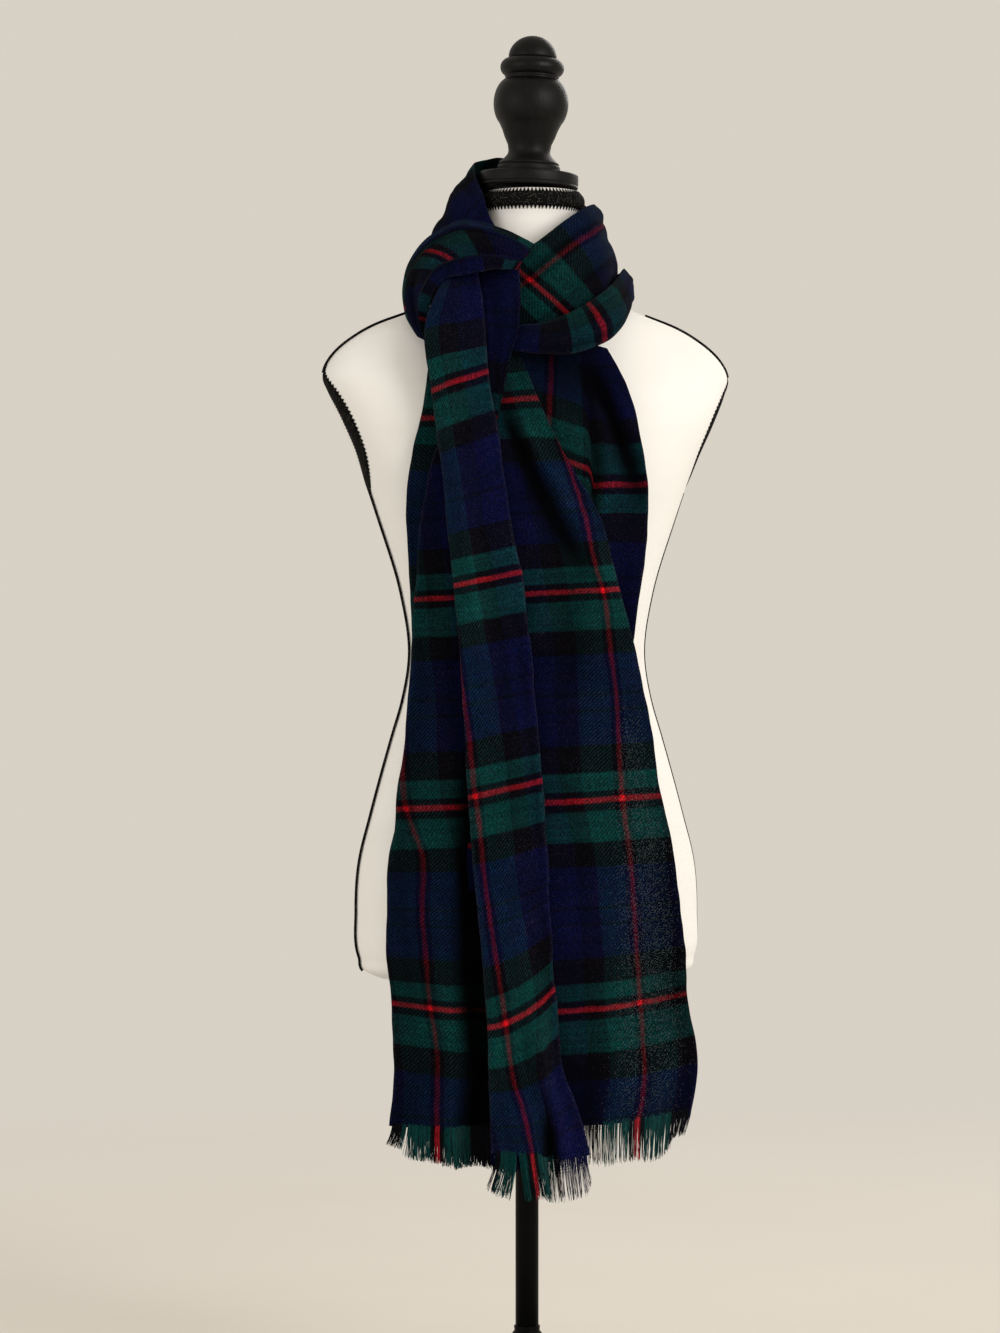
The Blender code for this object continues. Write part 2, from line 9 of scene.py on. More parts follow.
import bpy
import numpy as np
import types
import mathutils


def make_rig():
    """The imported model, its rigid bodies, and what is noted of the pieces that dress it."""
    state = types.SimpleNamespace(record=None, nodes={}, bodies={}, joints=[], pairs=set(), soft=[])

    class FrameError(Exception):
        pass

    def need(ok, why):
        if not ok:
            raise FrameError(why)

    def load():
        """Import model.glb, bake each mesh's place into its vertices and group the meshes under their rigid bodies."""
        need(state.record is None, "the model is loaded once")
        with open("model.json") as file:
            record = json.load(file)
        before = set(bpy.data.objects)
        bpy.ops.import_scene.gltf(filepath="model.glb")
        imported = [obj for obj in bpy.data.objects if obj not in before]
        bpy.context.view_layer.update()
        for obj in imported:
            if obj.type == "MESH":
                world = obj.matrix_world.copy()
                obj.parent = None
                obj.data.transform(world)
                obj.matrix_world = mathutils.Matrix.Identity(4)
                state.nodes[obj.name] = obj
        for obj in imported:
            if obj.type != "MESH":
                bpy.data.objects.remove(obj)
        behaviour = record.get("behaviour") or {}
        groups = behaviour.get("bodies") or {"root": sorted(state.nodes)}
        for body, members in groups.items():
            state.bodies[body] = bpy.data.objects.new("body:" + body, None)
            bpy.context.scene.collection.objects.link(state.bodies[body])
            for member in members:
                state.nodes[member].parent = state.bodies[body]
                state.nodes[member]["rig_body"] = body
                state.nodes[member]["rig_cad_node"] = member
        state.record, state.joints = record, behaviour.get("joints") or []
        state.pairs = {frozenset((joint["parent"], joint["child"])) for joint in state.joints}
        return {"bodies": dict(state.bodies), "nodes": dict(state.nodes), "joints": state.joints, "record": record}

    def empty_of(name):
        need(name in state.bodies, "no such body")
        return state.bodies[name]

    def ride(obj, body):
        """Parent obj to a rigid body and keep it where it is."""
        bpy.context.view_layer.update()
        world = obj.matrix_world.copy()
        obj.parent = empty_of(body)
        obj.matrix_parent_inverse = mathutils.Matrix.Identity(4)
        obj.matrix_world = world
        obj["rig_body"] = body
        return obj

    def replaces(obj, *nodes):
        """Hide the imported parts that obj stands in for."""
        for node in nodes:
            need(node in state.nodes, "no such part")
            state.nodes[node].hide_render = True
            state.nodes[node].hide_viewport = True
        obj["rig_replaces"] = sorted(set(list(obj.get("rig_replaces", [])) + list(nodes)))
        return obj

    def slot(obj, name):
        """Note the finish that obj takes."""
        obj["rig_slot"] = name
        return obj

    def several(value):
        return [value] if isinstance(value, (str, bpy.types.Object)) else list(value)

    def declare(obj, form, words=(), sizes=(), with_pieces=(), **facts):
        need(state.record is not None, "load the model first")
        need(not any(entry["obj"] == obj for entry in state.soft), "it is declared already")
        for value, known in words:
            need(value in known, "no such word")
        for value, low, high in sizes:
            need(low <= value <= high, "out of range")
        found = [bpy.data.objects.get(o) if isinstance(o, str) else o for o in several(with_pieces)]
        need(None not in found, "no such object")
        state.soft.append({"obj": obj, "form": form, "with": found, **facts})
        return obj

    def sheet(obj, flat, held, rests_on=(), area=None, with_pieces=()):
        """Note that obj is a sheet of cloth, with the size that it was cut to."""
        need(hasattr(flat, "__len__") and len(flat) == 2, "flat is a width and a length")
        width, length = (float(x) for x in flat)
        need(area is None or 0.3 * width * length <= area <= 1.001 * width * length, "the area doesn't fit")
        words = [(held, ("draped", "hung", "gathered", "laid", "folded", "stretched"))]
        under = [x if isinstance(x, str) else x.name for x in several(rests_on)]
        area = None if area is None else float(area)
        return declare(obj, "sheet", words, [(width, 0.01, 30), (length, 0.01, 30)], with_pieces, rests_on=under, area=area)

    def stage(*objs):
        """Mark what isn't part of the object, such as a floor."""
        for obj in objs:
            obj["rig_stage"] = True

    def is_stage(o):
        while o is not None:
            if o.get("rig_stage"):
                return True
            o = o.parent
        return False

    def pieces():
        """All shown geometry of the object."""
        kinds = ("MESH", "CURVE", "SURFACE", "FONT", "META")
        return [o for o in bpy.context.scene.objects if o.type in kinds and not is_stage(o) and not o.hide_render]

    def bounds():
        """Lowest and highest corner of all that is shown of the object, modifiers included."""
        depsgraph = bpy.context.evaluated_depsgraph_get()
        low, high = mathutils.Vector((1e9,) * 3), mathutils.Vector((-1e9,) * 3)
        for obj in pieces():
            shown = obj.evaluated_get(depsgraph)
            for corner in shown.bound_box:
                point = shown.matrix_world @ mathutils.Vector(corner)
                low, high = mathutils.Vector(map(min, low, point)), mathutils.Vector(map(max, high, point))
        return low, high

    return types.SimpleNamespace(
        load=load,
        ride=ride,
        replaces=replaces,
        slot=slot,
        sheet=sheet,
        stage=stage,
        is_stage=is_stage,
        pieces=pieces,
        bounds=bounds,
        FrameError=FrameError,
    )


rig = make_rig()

MM = 0.001

# Picture
CAMERA_PLACE = (-0.0262, -4.0, 0.7037)
PICTURE_HALF_HEIGHT = 0.6465  # of what the camera sees, at the pole
WALL = (0.685, 0.635, 0.56)
FLOOR_REACH = 3.0
# name, place, target, size, watts, colour; lengths in metres
LIGHTS = (
    ("window", (2.6, -2.6, 2.0), (0, 0, 0.8), 2.4, 93, (1.0, 0.975, 0.94)),
    ("room", (-3.0, -2.4, 1.4), (0, 0, 0.7), 2.6, 30, (0.98, 0.98, 1.0)),
    ("rim", (1.2, 2.6, 2.4), (0, 0, 0.9), 1.6, 24, (1.0, 0.98, 0.96)),
)

# Tartan, in millimetres from the middle of a red stripe. Warp stripes repeat as in a mirror, weft ones don't.
RED, BLACK, GREEN, NAVY, DEEP_NAVY = "red", "black", "green", "navy", "deep navy"
YARNS = {
    RED: (0.185, 0.0052, 0.0095),
    BLACK: (0.0009, 0.0008, 0.0018),
    GREEN: (0.0009, 0.0235, 0.0225),
    NAVY: (0.0010, 0.0019, 0.0195),
    DEEP_NAVY: (0.0009, 0.0014, 0.0105),
}
WARP_HALF = 98
WARP_STRIPES = (
    (0, RED),
    (2.1, BLACK),
    (6.5, GREEN),
    (33, BLACK),
    (52, NAVY),
    (88.5, DEEP_NAVY),
    (91.5, NAVY),
)
WEFT_REPEAT = 194
WEFT_STRIPES = (
    (0, RED),
    (2.4, BLACK),
    (9.6, GREEN),
    (37.3, BLACK),
    (59.5, NAVY),
    (94.4, DEEP_NAVY),
    (97.8, NAVY),
    (109.3, DEEP_NAVY),
    (112.7, NAVY),
    (143.3, BLACK),
    (169, GREEN),
    (185.6, BLACK),
    (191.6, RED),
)
STRIPE_BLUR = 0.7  # how far one colour runs into the next
YARN_PITCH = 0.9
YARN_STRAYS = ((70, 1.6), (420, 0.8))  # scale of a noise, how far it moves the yarns
TWILL = 4  # yarns in one repeat of the twill: the weft passes over three and under one
# How much of the warp's colour shows under the weft, and how much more on top of it and in a red stripe.
COVER_UNDER, COVER_ON_TOP, COVER_RED = 0.07, 0.48, 0.22
# The last of the next four is painted light: the fringe's yarns painted lighter, as with light coming through them.
RED_WARP_LIGHT, MIXED_LIGHT, SAME_COLOUR_DEPTH, FRINGE_PAINTED_BACKLIGHT = 0.55, 0.72, 8, 1.5
YARN_LIGHT, FLECK_LIGHT, GROOVE_LIGHT = (0.5, 0.05), (4.6, -1.55), (1.7, 0.575)  # each a factor and an offset; the groove's paints shade and light along the twill
WARP_FLECKS, WEFT_FLECKS, FRINGE_FLECKS = 900, 780, 500  # scales of their noises
TWIST_ALONG, TWIST_ACROSS = 5200, 9000
VEIL, VEIL_AT_EDGE, FIBRE_COLOUR = 0.22, 0.60, (0.078, 0.068, 0.094)
WOOL_SHEEN, YARN_SHEEN = (0.55, 0.66, 0.85), (0.6, 0.68, 0.85)
# The specks' colour is painted light, where light comes through the cloth.
SPECK_PITCH, SPECK_RADIUS, SPECK_COLOUR = 1.05, 0.19, (0.125, 0.15, 0.155)

# Dress form
FORM_TURN = math.radians(10)
FORM_BOTTOM, NECK_TOP = 404, 1163.5
NECK_LEAN, LEAN_FROM = 5, 1047
CAP_TILT = math.radians(2)
CAP_BASE, CAP_RADIUS, CAP_HEIGHT = 1167.5, 48.5, 14
BUST_HEIGHT, BUST_OUT, BUST_SPREAD, BUST_APART = 905, 5, 46, 56
FORM_GAP, FORM_UNDERCUT = 1.6, 1.5  # room for the tails in front of the form, and how fast it grows below it
SIDES = ((-1, "left"), (1, "right"))
TAPE_UNDER, TAPE_EDGE, TAPE_CROWN = 0.15, 0.75, 0.63  # heights over the jersey, the last one over the edge
PICOT_PITCH, PICOT_TALL = 3.9, 3.4
NECK_TAPE = (1146, 1159.5)
ARMHOLE_HEIGHT, ARMHOLE_BACK, ARMHOLE_LONGER, ARMHOLE_HIGHER = 937, math.radians(11), 20, 7
ARMHOLE_EDGES = ((35, 14.5), (48, 27.5))  # half height, half width in degrees
PIPING_WIDE, PIPING_TALL, PIPING_LIFT, PIPING_STEP = 4.0, 2.6, 0.4, 2.2
SHOULDER_CORD, SIDE_CORD = (979 + ARMHOLE_HIGHER, 1044), (412, 894 - ARMHOLE_LONGER)
RIB_WIDE, RIB_PITCH = 4, 2.1
BRAID_SPECK_PITCH, BRAID_SPECK_RADIUS, BRAID_SPECK_SHARE = 1.4, 0.22, 0.26
BRAID_SPECK_COLOUR = (0.22, 0.21, 0.19)
# The stitches' lightness is painted shade and light of the knit's relief.
STITCH_WIDE, STITCH_TALL, STITCH_LIGHT = 1.1, 0.8, (0.22, 0.93)
# height, half width, depth in front, depth behind, squareness
FORM_RINGS = (
    (404, 145, 88, 92, 2.3),
    (409, 156, 98, 102, 2.3),
    (424, 163, 104, 108, 2.3),
    (468, 166, 108, 112, 2.2),
    (515, 163, 106, 112, 2.2),
    (560, 152, 100, 107, 2.2),
    (636, 131, 89, 92, 2.2),
    (670, 121, 85, 84, 2.2),
    (715, 114, 83, 79, 2.2),
    (774, 122, 85, 82, 2.2),
    (843, 143, 90, 92, 2.3),
    (905, 165, 93, 99, 2.5),
    (942, 182, 89, 101, 2.5),
    (968, 193, 83, 99, 2.3),
    (984, 198, 77, 95, 2.1),
    (999, 192, 71, 90, 2.0),
    (1018, 172, 65, 84, 1.9),
    (1033, 146, 60, 77, 1.9),
    (1045, 114, 57, 71, 2.0),
    (1058, 84, 53, 64, 2.0),
    (1078, 61, 50, 56, 2.0),
    (1105, 51, 48, 50, 2.0),
    (1135, 47, 47, 47, 2.0),
    (NECK_TOP - 2, 46.5, 46.5, 46.5, 2.0),
    (NECK_TOP, 44.5, 44.5, 44.5, 2.0),
)

# Stand
PLATE_RADIUS, PLATE_RIM, PLATE_TOP = 160, 9, 21
HUB_TOP, HUB_RADIUS, HUB_NECK = 65, 27, 17
POLE_RADIUS = 11.2
GAP = 0.3

# Scarf
# The last of these is how far in from an edge the cloth is painted paler: a painted sheen of the fuzz there.
CLOTH, GRID_STEP, EDGE_SHEEN_WIDTH = 1.3, 3.0, 1.3
# Rumples out of the cloth's face and along it: wavelength, height.
RUMPLES_OUT = ((90, 0.605), (38, 0.275), (15, 0.088))
RUMPLES_ASIDE = ((130, 1.04), (48, 0.64), (17, 0.24))
FRINGE_PITCH, FRINGE_RADIUS = 0.2, 0.26
CROSSING_WARP = 60  # the place in the tartan whose colour the weft yarns in the fringe have
# How the fringe varies, as a range or a spread: its clumps, each yarn, and the yarns' roots on the cloth.
CLUMP_WIDE, CLUMP_PULL, CLUMP_LEAN, CLUMP_OUT = (1.2, 4.6), (0.1, 0.55), 0.6, 1.8
YARN_ASIDE, YARN_LONG, YARN_LEAN, YARN_OUT = 0.4, (0.84, 1.02), 0.35, 0.7
ROOT_OUT, ROOT_UP = (0.5, 0.9), (0.8, 4.0)
CROWN_POWER, PLEAT_STEP, PLEAT_END, PLEAT_FALL = 2.2, 0.03, 1.05, 0.3
FOLD_SHADE = 0.045  # painted shade: how much darker the cloth is painted for each millimetre of a fold's depth, and lighter for each of its height
# Limits of the painted shade and light.
DARKEST, LIGHTEST = 0.06, 1.45
FADE_IN = 60  # how far along its course a fold comes in and goes out

# Sections across each stretch. along, edge a (x, y, z), edge b (x, y, z), crown, sag, and the warp's
# place at each edge. A red warp stripe is at 0 and at every 196 mm, a red weft stripe at every 194 mm along.
TAIL_FRONT = (
    (-98, -76, -86, 1079, -50, -91, 1084, 1, 0, 22, 62),
    (-60, -94, -111, 1033, -43, -112, 1041, 2, 0, 22, 74),
    (0, -90, -127, 963, -38, -128, 981, 2, 0, 21, 74),
    (65, -83, -136, 897, -28, -136, 917, 3, 0, 17, 74),
    (130, -77, -141, 839, -19, -141, 855, 3, 0, 14, 73),
    (194, -70, -143, 779, -7, -143, 792, 3, 0, 11, 74),
    (325, -59, -144, 646, 7, -144, 661, 3, 0, 1, 68),
    (452, -50, -143, 513, 18, -143, 532, 3, 1, -6, 62),
    (582, -38, -140, 365, 25, -140, 402, 4, 6, -16, 52),
    (640, -35, -138, 307, 32, -136, 335, 6, 8, -24, 62),
    (685, -33, -136, 267, 48, -132, 286, 9, 6, -33, 78),
    (722, -32, -134, 237, 61, -130, 234, 10, 2, -43, 84),
)
TAIL_PLEAT = (
    (-105, -62, -78, 1082, -8, -92, 1085, 2, 0, 80, 140),
    (-60, -56, -96, 1036, -5, -110, 1035, 2, 0, 76, 130),
    (-25, -50, -107, 1004, -13, -114, 1001, 2, 0, 72, 110),
    (5, -46, -115, 968, -22, -117, 964, 1, 0, 70, 95),
    (35, -42, -121, 940, -29, -121, 937, 0.5, 0, 68, 84),
)
TAIL_WIDE = (
    (-55, -62, -100, 1002, -10, -90, 1013, 2, 0, 130, 186),
    (0, -76, -111, 948, 9, -107, 957, 4, 0, 90, 190),
    (50, -86, -118, 903, 33, -116, 906, 8, 0, 62, 196),
    (100, -99, -117, 853, 60, -115, 861, 13, 0, 40, 208),
    (194, -107, -113, 767, 89, -111, 777, 19, 0, 25, 214),
    (300, -113, -110, 661, 112, -108, 670, 22, 0, 9, 226),
    (388, -124, -109, 569, 125, -107, 582, 25, 0, -7, 232),
    (430, -130, -108, 526, 135, -105, 538, 25, 0, -27, 236),
    (480, -133, -108, 479, 143, -104, 486, 25, 3, -31, 239),
    (530, -132, -107, 431, 148, -103, 441, 24, 7, -33, 241),
    (582, -129, -106, 386, 152, -102, 395, 23, 11, -35, 244),
    (655, -126, -104, 308, 161, -100, 313, 21, 12, -39, 250),
    (690, -130, -102, 266, 154, -99, 273, 20, 6, -44, 250),
)
TAIL_UNDER = (
    (-125, -83, -76, 1052, 76, -75, 1006, 2, 0, -182, 60),
    (-90, -86, -84, 1023, 92, -82, 974, 3, 0, -182, 78),
    (-50, -93, -93, 989, 104, -91, 933, 6, 0, -182, 88),
    (0, -100, -101, 943, 114, -98, 881, 9, 0, -182, 96),
    (45, -110, -104, 899, 113, -100, 833, 14, 0, -184, 96),
    (90, -115, -104, 856, 107, -100, 786, 16, 0, -186, 92),
    (135, -113, -104, 804, 100, -100, 740, 16, 0, -186, 86),
    (260, -105, -100, 672, 99, -97, 629, 16, 0, -184, 84),
    (395, -109, -101, 535, 101, -98, 513, 15, 0, -184, 84),
)
LOOP_FRONT = (
    (-105, 8, -93, 1105, -11, -106, 1078, 4, 0, 10, 44),
    (-75, -18, -91, 1117, -28, -112, 1078, 8, 0, 10, 52),
    (-45, -45, -78, 1126, -47, -111, 1076, 9, 0, 10, 60),
    (-18, -69, -62, 1128, -61, -107, 1073, 9, 0, 10, 64),
    (0, -93, -46, 1116, -74, -99, 1072, 8, 0, 10, 62),
    (30, -113, -34, 1092, -85, -92, 1064, 8, 0, 10, 62),
    (60, -119, -38, 1066, -92, -90, 1049, 8, 0, 10, 62),
    (90, -116, -58, 1041, -93, -93, 1030, 7, 0, 10, 62),
    (120, -104, -74, 1020, -90, -95, 1010, 4, 0, 10, 58),
)
WRAP_RIGHT_UPPER = (
    (-40, -41, -76, 1069, 9, -86, 1009, 3, 0, -25, 55),
    (0, -18, -78, 1088, 46, -86, 1031, 6, 0, -25, 58),
    (40, 13, -76, 1111, 68, -75, 1050, 9, 0, -25, 60),
    (80, 45, -57, 1137, 77, -52, 1064, 10, 0, -25, 60),
    (120, 62, -22, 1149, 83, -24, 1074, 8, 0, -25, 60),
    (160, 67, 15, 1149, 86, 14, 1070, 7, 0, -25, 60),
    (205, 60, 48, 1153, 75, 52, 1064, 9, 0, -25, 68),
    (250, 28, 70, 1158, 42, 78, 1060, 10, 0, -25, 76),
    (300, -22, 74, 1150, -12, 88, 1056, 10, 0, -25, 74),
    (350, -62, 66, 1130, -60, 78, 1056, 9, 0, -15, 62),
    (395, -96, 31, 1106, -94, 42, 1060, 5, 0, 0, 50),
    (430, -103, 2, 1096, -103, 8, 1062, 3, 0, 8, 46),
    (460, -98, -26, 1094, -98, -22, 1066, 2, 0, 12, 44),
)
WRAP_RIGHT_LOWER = (
    (-75, -13, -103, 1026, -14, -106, 1001, 3, 0, 30, 70),
    (-50, 13, -105, 1029, 12, -110, 999, 7, 0, 28, 76),
    (-22, 39, -102, 1039, 45, -108, 1001, 8, 0, 26, 80),
    (0, 56, -94, 1049, 72, -98, 1011, 9, 0, 24, 80),
    (25, 74, -76, 1062, 86, -79, 1024, 9, 0, 22, 80),
    (50, 84, -48, 1074, 95, -51, 1040, 7, 0, 20, 80),
    (85, 91, -12, 1086, 102, -14, 1056, 5, 0, 20, 76),
    (125, 94, 24, 1088, 102, 27, 1056, 6, 0, 20, 76),
    (170, 81, 62, 1086, 86, 68, 1048, 8, 0, 20, 80),
    (215, 46, 90, 1080, 48, 98, 1036, 8, 0, 20, 84),
    (270, -16, 99, 1076, -20, 106, 1030, 8, 0, 20, 86),
    (325, -70, 86, 1076, -74, 88, 1034, 8, 0, 20, 82),
    (370, -100, 50, 1080, -104, 50, 1046, 7, 0, 20, 76),
    (410, -110, 8, 1083, -113, 8, 1056, 5, 0, 22, 70),
    (446, -104, -27, 1084, -107, -27, 1060, 3, 0, 24, 66),
)
WRAP_BACK = (
    (0, -28, -50, 1122, -40, -66, 1092, 4, 0, 100, 150),
    (30, -37, -43, 1138, -62, -60, 1078, 9, 0, 72, 150),
    (60, -45, -33, 1160, -84, -40, 1066, 14, 0, 42, 160),
    (95, -50, -12, 1181, -95, -10, 1064, 18, 0, 30, 165),
    (130, -50, 12, 1194, -92, 22, 1062, 17, 0, 20, 170),
    (165, -42, 35, 1200, -74, 48, 1060, 13, 0, 20, 170),
    (200, -24, 50, 1203, -46, 66, 1056, 10, 0, 20, 175),
    (240, 2, 57, 1196, -10, 76, 1054, 8, 0, 20, 170),
    (280, 32, 52, 1180, 32, 70, 1060, 5, 0, 30, 160),
    (315, 51, 36, 1160, 57, 46, 1070, 3, 0, 50, 150),
    (350, 60, 10, 1147, 69, 17, 1080, 3, 0, 70, 140),
    (385, 57, -20, 1138, 69, -16, 1086, 3, 0, 80, 140),
    (410, 51, -36, 1127, 60, -36, 1088, 3, 0, 90, 140),
)

# Folds: share of the width where it begins and where it ends, half width as a share, height, and where it
# begins and ends along the stretch.
FRONT_FOLDS = (
    (0.3, 0.34, 0.16, 2, -90, 330),
    (0.62, 0.5, 0.12, -2.2, 60, 520),
    (0.55, 0.72, 0.14, 2.6, 420, 690),
    (0.66, 0.58, 0.07, -15, 656, 900),
    (0.8, 0.74, 0.09, 7, 560, 900),
    (0.36, 0.3, 0.12, 4, 620, 900),
)
WIDE_FOLDS = (
    (0.34, 0.34, 0.1, -7, 150, 900),
    (0.31, 0.265, 0.055, -14, 300, 900),
    (0.58, 0.86, 0.075, -4.5, -10, 200),
    (0.76, 0.99, 0.07, 7, 0, 220),
    (0.74, 0.74, 0.1, 4, 260, 900),
    (0.9, 0.9, 0.08, -4, 430, 900),
    (0.63, 0.66, 0.045, -2.5, 300, 900),
    (0.1, 0.13, 0.05, -3.5, 420, 900),
    (0.18, 0.2, 0.04, 3, 520, 900),
    (0.81, 0.83, 0.03, -2.5, 560, 900),
    (0.97, 0.93, 0.05, -9, 590, 900),
)
UNDER_FOLDS = (
    (0.3, 0.3, 0.1, -4, -60, 300),
    (0.78, 0.78, 0.09, 4, -90, 60),
    (0.8, 0.97, 0.06, -9, -110, 40),
    (0.9, 1.04, 0.06, 5, -110, 50),
    (0.755, 0.76, 0.015, -6, -60, 130),
    (0.8, 0.82, 0.05, 2.5, -10, 150),
    (0.93, 0.9, 0.04, -2.5, 30, 250),
)
BACK_FOLDS = (
    (0.42, 0.42, 0.13, -6, 60, 300),
    (0.7, 0.7, 0.1, 4, 90, 260),
    (0.14, 0.1, 0.05, -2.5, 20, 180),
    (0.62, 0.44, 0.07, 3, 10, 140),
    (0.28, 0.2, 0.05, 2, 150, 380),
)
RIGHT_FOLDS = (
    (0.45, 0.45, 0.16, -3, 60, 260),
    (0.1, 0.1, 0.05, 1.6, -40, 280),
    (0.21, 0.24, 0.05, -2.2, -30, 260),
    (0.34, 0.62, 0.06, 2.2, 10, 150),
    (0.58, 0.86, 0.05, -2.2, 10, 140),
    (0.75, 0.6, 0.08, 2, 200, 420),
)
LOWER_FOLDS = (
    (0.55, 0.35, 0.1, -1.8, -40, 120),
    (0.25, 0.7, 0.1, 1.8, 60, 300),
    (0.6, 0.3, 0.1, -2, 220, 420),
)
LOOP_FOLDS = (
    (0.27, 0.27, 0.03, -2.5, -110, 70),
    (0.14, 0.14, 0.08, 1.5, -100, 60),
    (0.62, 0.7, 0.08, -3, -110, -20),
    (0.82, 0.86, 0.07, 2.6, -110, 0),
    (0.42, 0.6, 0.09, -2.6, 0, 130),
    (0.75, 0.8, 0.08, 2.4, 20, 140),
)
PLEAT_FOLDS = (
    (0.35, 0.45, 0.14, 3, -110, 40),
    (0.7, 0.62, 0.09, -2.2, -90, 30),
)

# Painted shade and painted light: stretches painted darker where they lie in shade, in hollows and under other layers,
# and lighter where they face the light. As the folds, with a share of the cloth's brightness in place of the height.
FRONT_SHADES = (
    (0.66, 0.6, 0.1, -1.6, 668, 744),
    (0.5, 0.6, 0.1, -0.35, 560, 700),
    (0.86, 0.84, 0.1, 0.3, 560, 900),
    (0.3, 0.3, 0.1, 0.15, -60, 300),
    (0.93, 0.96, 0.06, -0.3, 200, 620),
)
WIDE_SHADES = (
    (0.3, 0.31, 0.055, -0.92, 380, 900),
    (0.56, 0.86, 0.08, -0.9, -20, 190),
    (0.76, 0.99, 0.06, 0.25, 0, 220),
    (0.8, 0.62, 0.08, -0.4, 150, 330),
    (0.43, 0.5, 0.09, -0.4, 560, 900),
    (0.59, 0.65, 0.06, -0.7, 598, 722),
    (0.97, 0.95, 0.05, -0.5, 400, 900),
    (0.97, 0.93, 0.07, 0.75, 580, 900),
    (0.03, 0.03, 0.05, -0.3, 100, 900),
)
UNDER_SHADES = (
    (0.775, 0.785, 0.03, -0.7, -110, 60),
    (0.82, 0.98, 0.06, -0.75, -115, 50),
    (0.62, 0.62, 0.12, -0.45, -125, -30),
    (0.86, 0.8, 0.16, -0.45, -135, -45),
    (0.97, 0.97, 0.05, -0.4, 60, 400),
)
LOOP_SHADES = (
    (0.8, 0.8, 0.05, -0.5, -110, 60),
    (0.9, 0.8, 0.2, -0.9, 62, 150),
    (0.5, 0.6, 0.2, -0.4, 45, 130),
    (0.3, 0.3, 0.05, -0.35, -110, 80),
    (0.12, 0.12, 0.1, 0.2, -100, 60),
)
RIGHT_SHADES = (
    (0.97, 0.97, 0.08, -0.6, -60, 160),
    (0.62, 0.8, 0.07, -0.4, 0, 160),
    (0.2, 0.24, 0.04, -0.35, -30, 150),
)
LOWER_SHADES = (
    (0.95, 0.95, 0.1, -0.45, -80, 100),
    (0.05, 0.05, 0.08, -0.3, -80, 100),
    (0.5, 0.4, 0.12, -0.3, -60, 10),
)
BACK_SHADES = (
    (0.42, 0.42, 0.09, -0.55, 40, 300),
    (0.95, 0.9, 0.12, -0.5, 20, 400),
    (0.14, 0.12, 0.05, -0.3, 20, 180),
)
PLEAT_SHADES = (
    (0.55, 0.55, 0.1, -0.45, -110, 60),
    (0.95, 0.95, 0.08, -0.5, -110, 60),
)

# A pleat hides some of the cloth in a step: share of the width, cloth hidden, step's height, begins, ends.
UNDER_PLEAT = (0.35, 62, 0, -400, 900)
FRONT_PLEAT = (0.62, 20, -5, 610, 900)
# Beside its fold the shorter end hangs out of line: share of the width, how much lower it is.
UNDER_DROP = ((0, 5), (0.12, -3), (0.3, 3), (0.74, 8), (0.756, 21), (1, 5))
# The front of the loop is folded over along its crest, which shows another part of the cloth.
LOOP_DROP = ((0, 85), (0.26, 85), (0.275, 12), (0.77, -9), (0.785, 92), (1, 92))
# Painted light: pale specks where light comes through the wide tail. Along, middle of the strip, its half width, share
# with a speck.
WIDE_SPECKS = (
    (285, 208, 9, 0),
    (330, 208, 12, 0.28),
    (400, 208, 18, 0.36),
    (520, 207, 27, 0.38),
    (600, 205, 31, 0.36),
    (650, 202, 34, 0.24),
    (690, 201, 36, 0.14),
)
NO_SPECKS = ((0, 0, 1, 0),)

# How much shorter the woven cloth is than the solid's hem: share of the width, length.
FRONT_HEM = ((0, 13), (0.25, 14), (0.45, 13), (0.6, 8), (1, 8))
WIDE_HEM = ((0, 3), (0.3, 4), (0.5, 5), (0.65, 7), (1, 8))

# A stretch's brightness factor is painted light: the whole stretch painted lighter or darker for how much light falls
# on it.
STRETCHES = {
    "tail_front": dict(
        rows=TAIL_FRONT, flat=(0.115, 0.863), roll_a=3.4, flap_a=16, roll_b=3.4, flap_b=16,
        folds=FRONT_FOLDS, shades=FRONT_SHADES, pleat=FRONT_PLEAT, hem=FRONT_HEM, painted_shading=1.2,
    ),
    "tail_pleat": dict(
        rows=TAIL_PLEAT, flat=(0.04, 0.151), folds=PLEAT_FOLDS, shades=PLEAT_SHADES, weft_shift=-35, painted_shading=0.9,
    ),
    "tail_wide": dict(
        rows=TAIL_WIDE, flat=(0.249, 0.754), roll_a=2.8, flap_a=22, folds=WIDE_FOLDS, shades=WIDE_SHADES,
        specks=WIDE_SPECKS, hem=WIDE_HEM, painted_shading=0.95,
    ),
    "tail_under": dict(
        rows=TAIL_UNDER, flat=(0.216, 0.512), folds=UNDER_FOLDS, shades=UNDER_SHADES, pleat=UNDER_PLEAT,
        drop=UNDER_DROP, weft_way=-1, painted_shading=0.9,
    ),
    "loop_front": dict(
        rows=LOOP_FRONT, flat=(0.076, 0.21), roll_a=5, flap_a=8, folds=LOOP_FOLDS, shades=LOOP_SHADES,
        drop=LOOP_DROP, weft_way=-1, weft_shift=3, warp_shift=14,
    ),
    "wrap_right_upper": dict(
        rows=WRAP_RIGHT_UPPER, flat=(0.08, 0.499), outward=-1, folds=RIGHT_FOLDS, shades=RIGHT_SHADES,
    ),
    "wrap_right_lower": dict(
        rows=WRAP_RIGHT_LOWER, flat=(0.056, 0.582), outward=-1, roll_b=4, flap_b=7, folds=LOWER_FOLDS,
        shades=LOWER_SHADES,
    ),
    "wrap_back": dict(
        rows=WRAP_BACK, flat=(0.11, 0.372), folds=BACK_FOLDS, shades=BACK_SHADES, weft_shift=60, painted_shading=0.95,
    ),
}

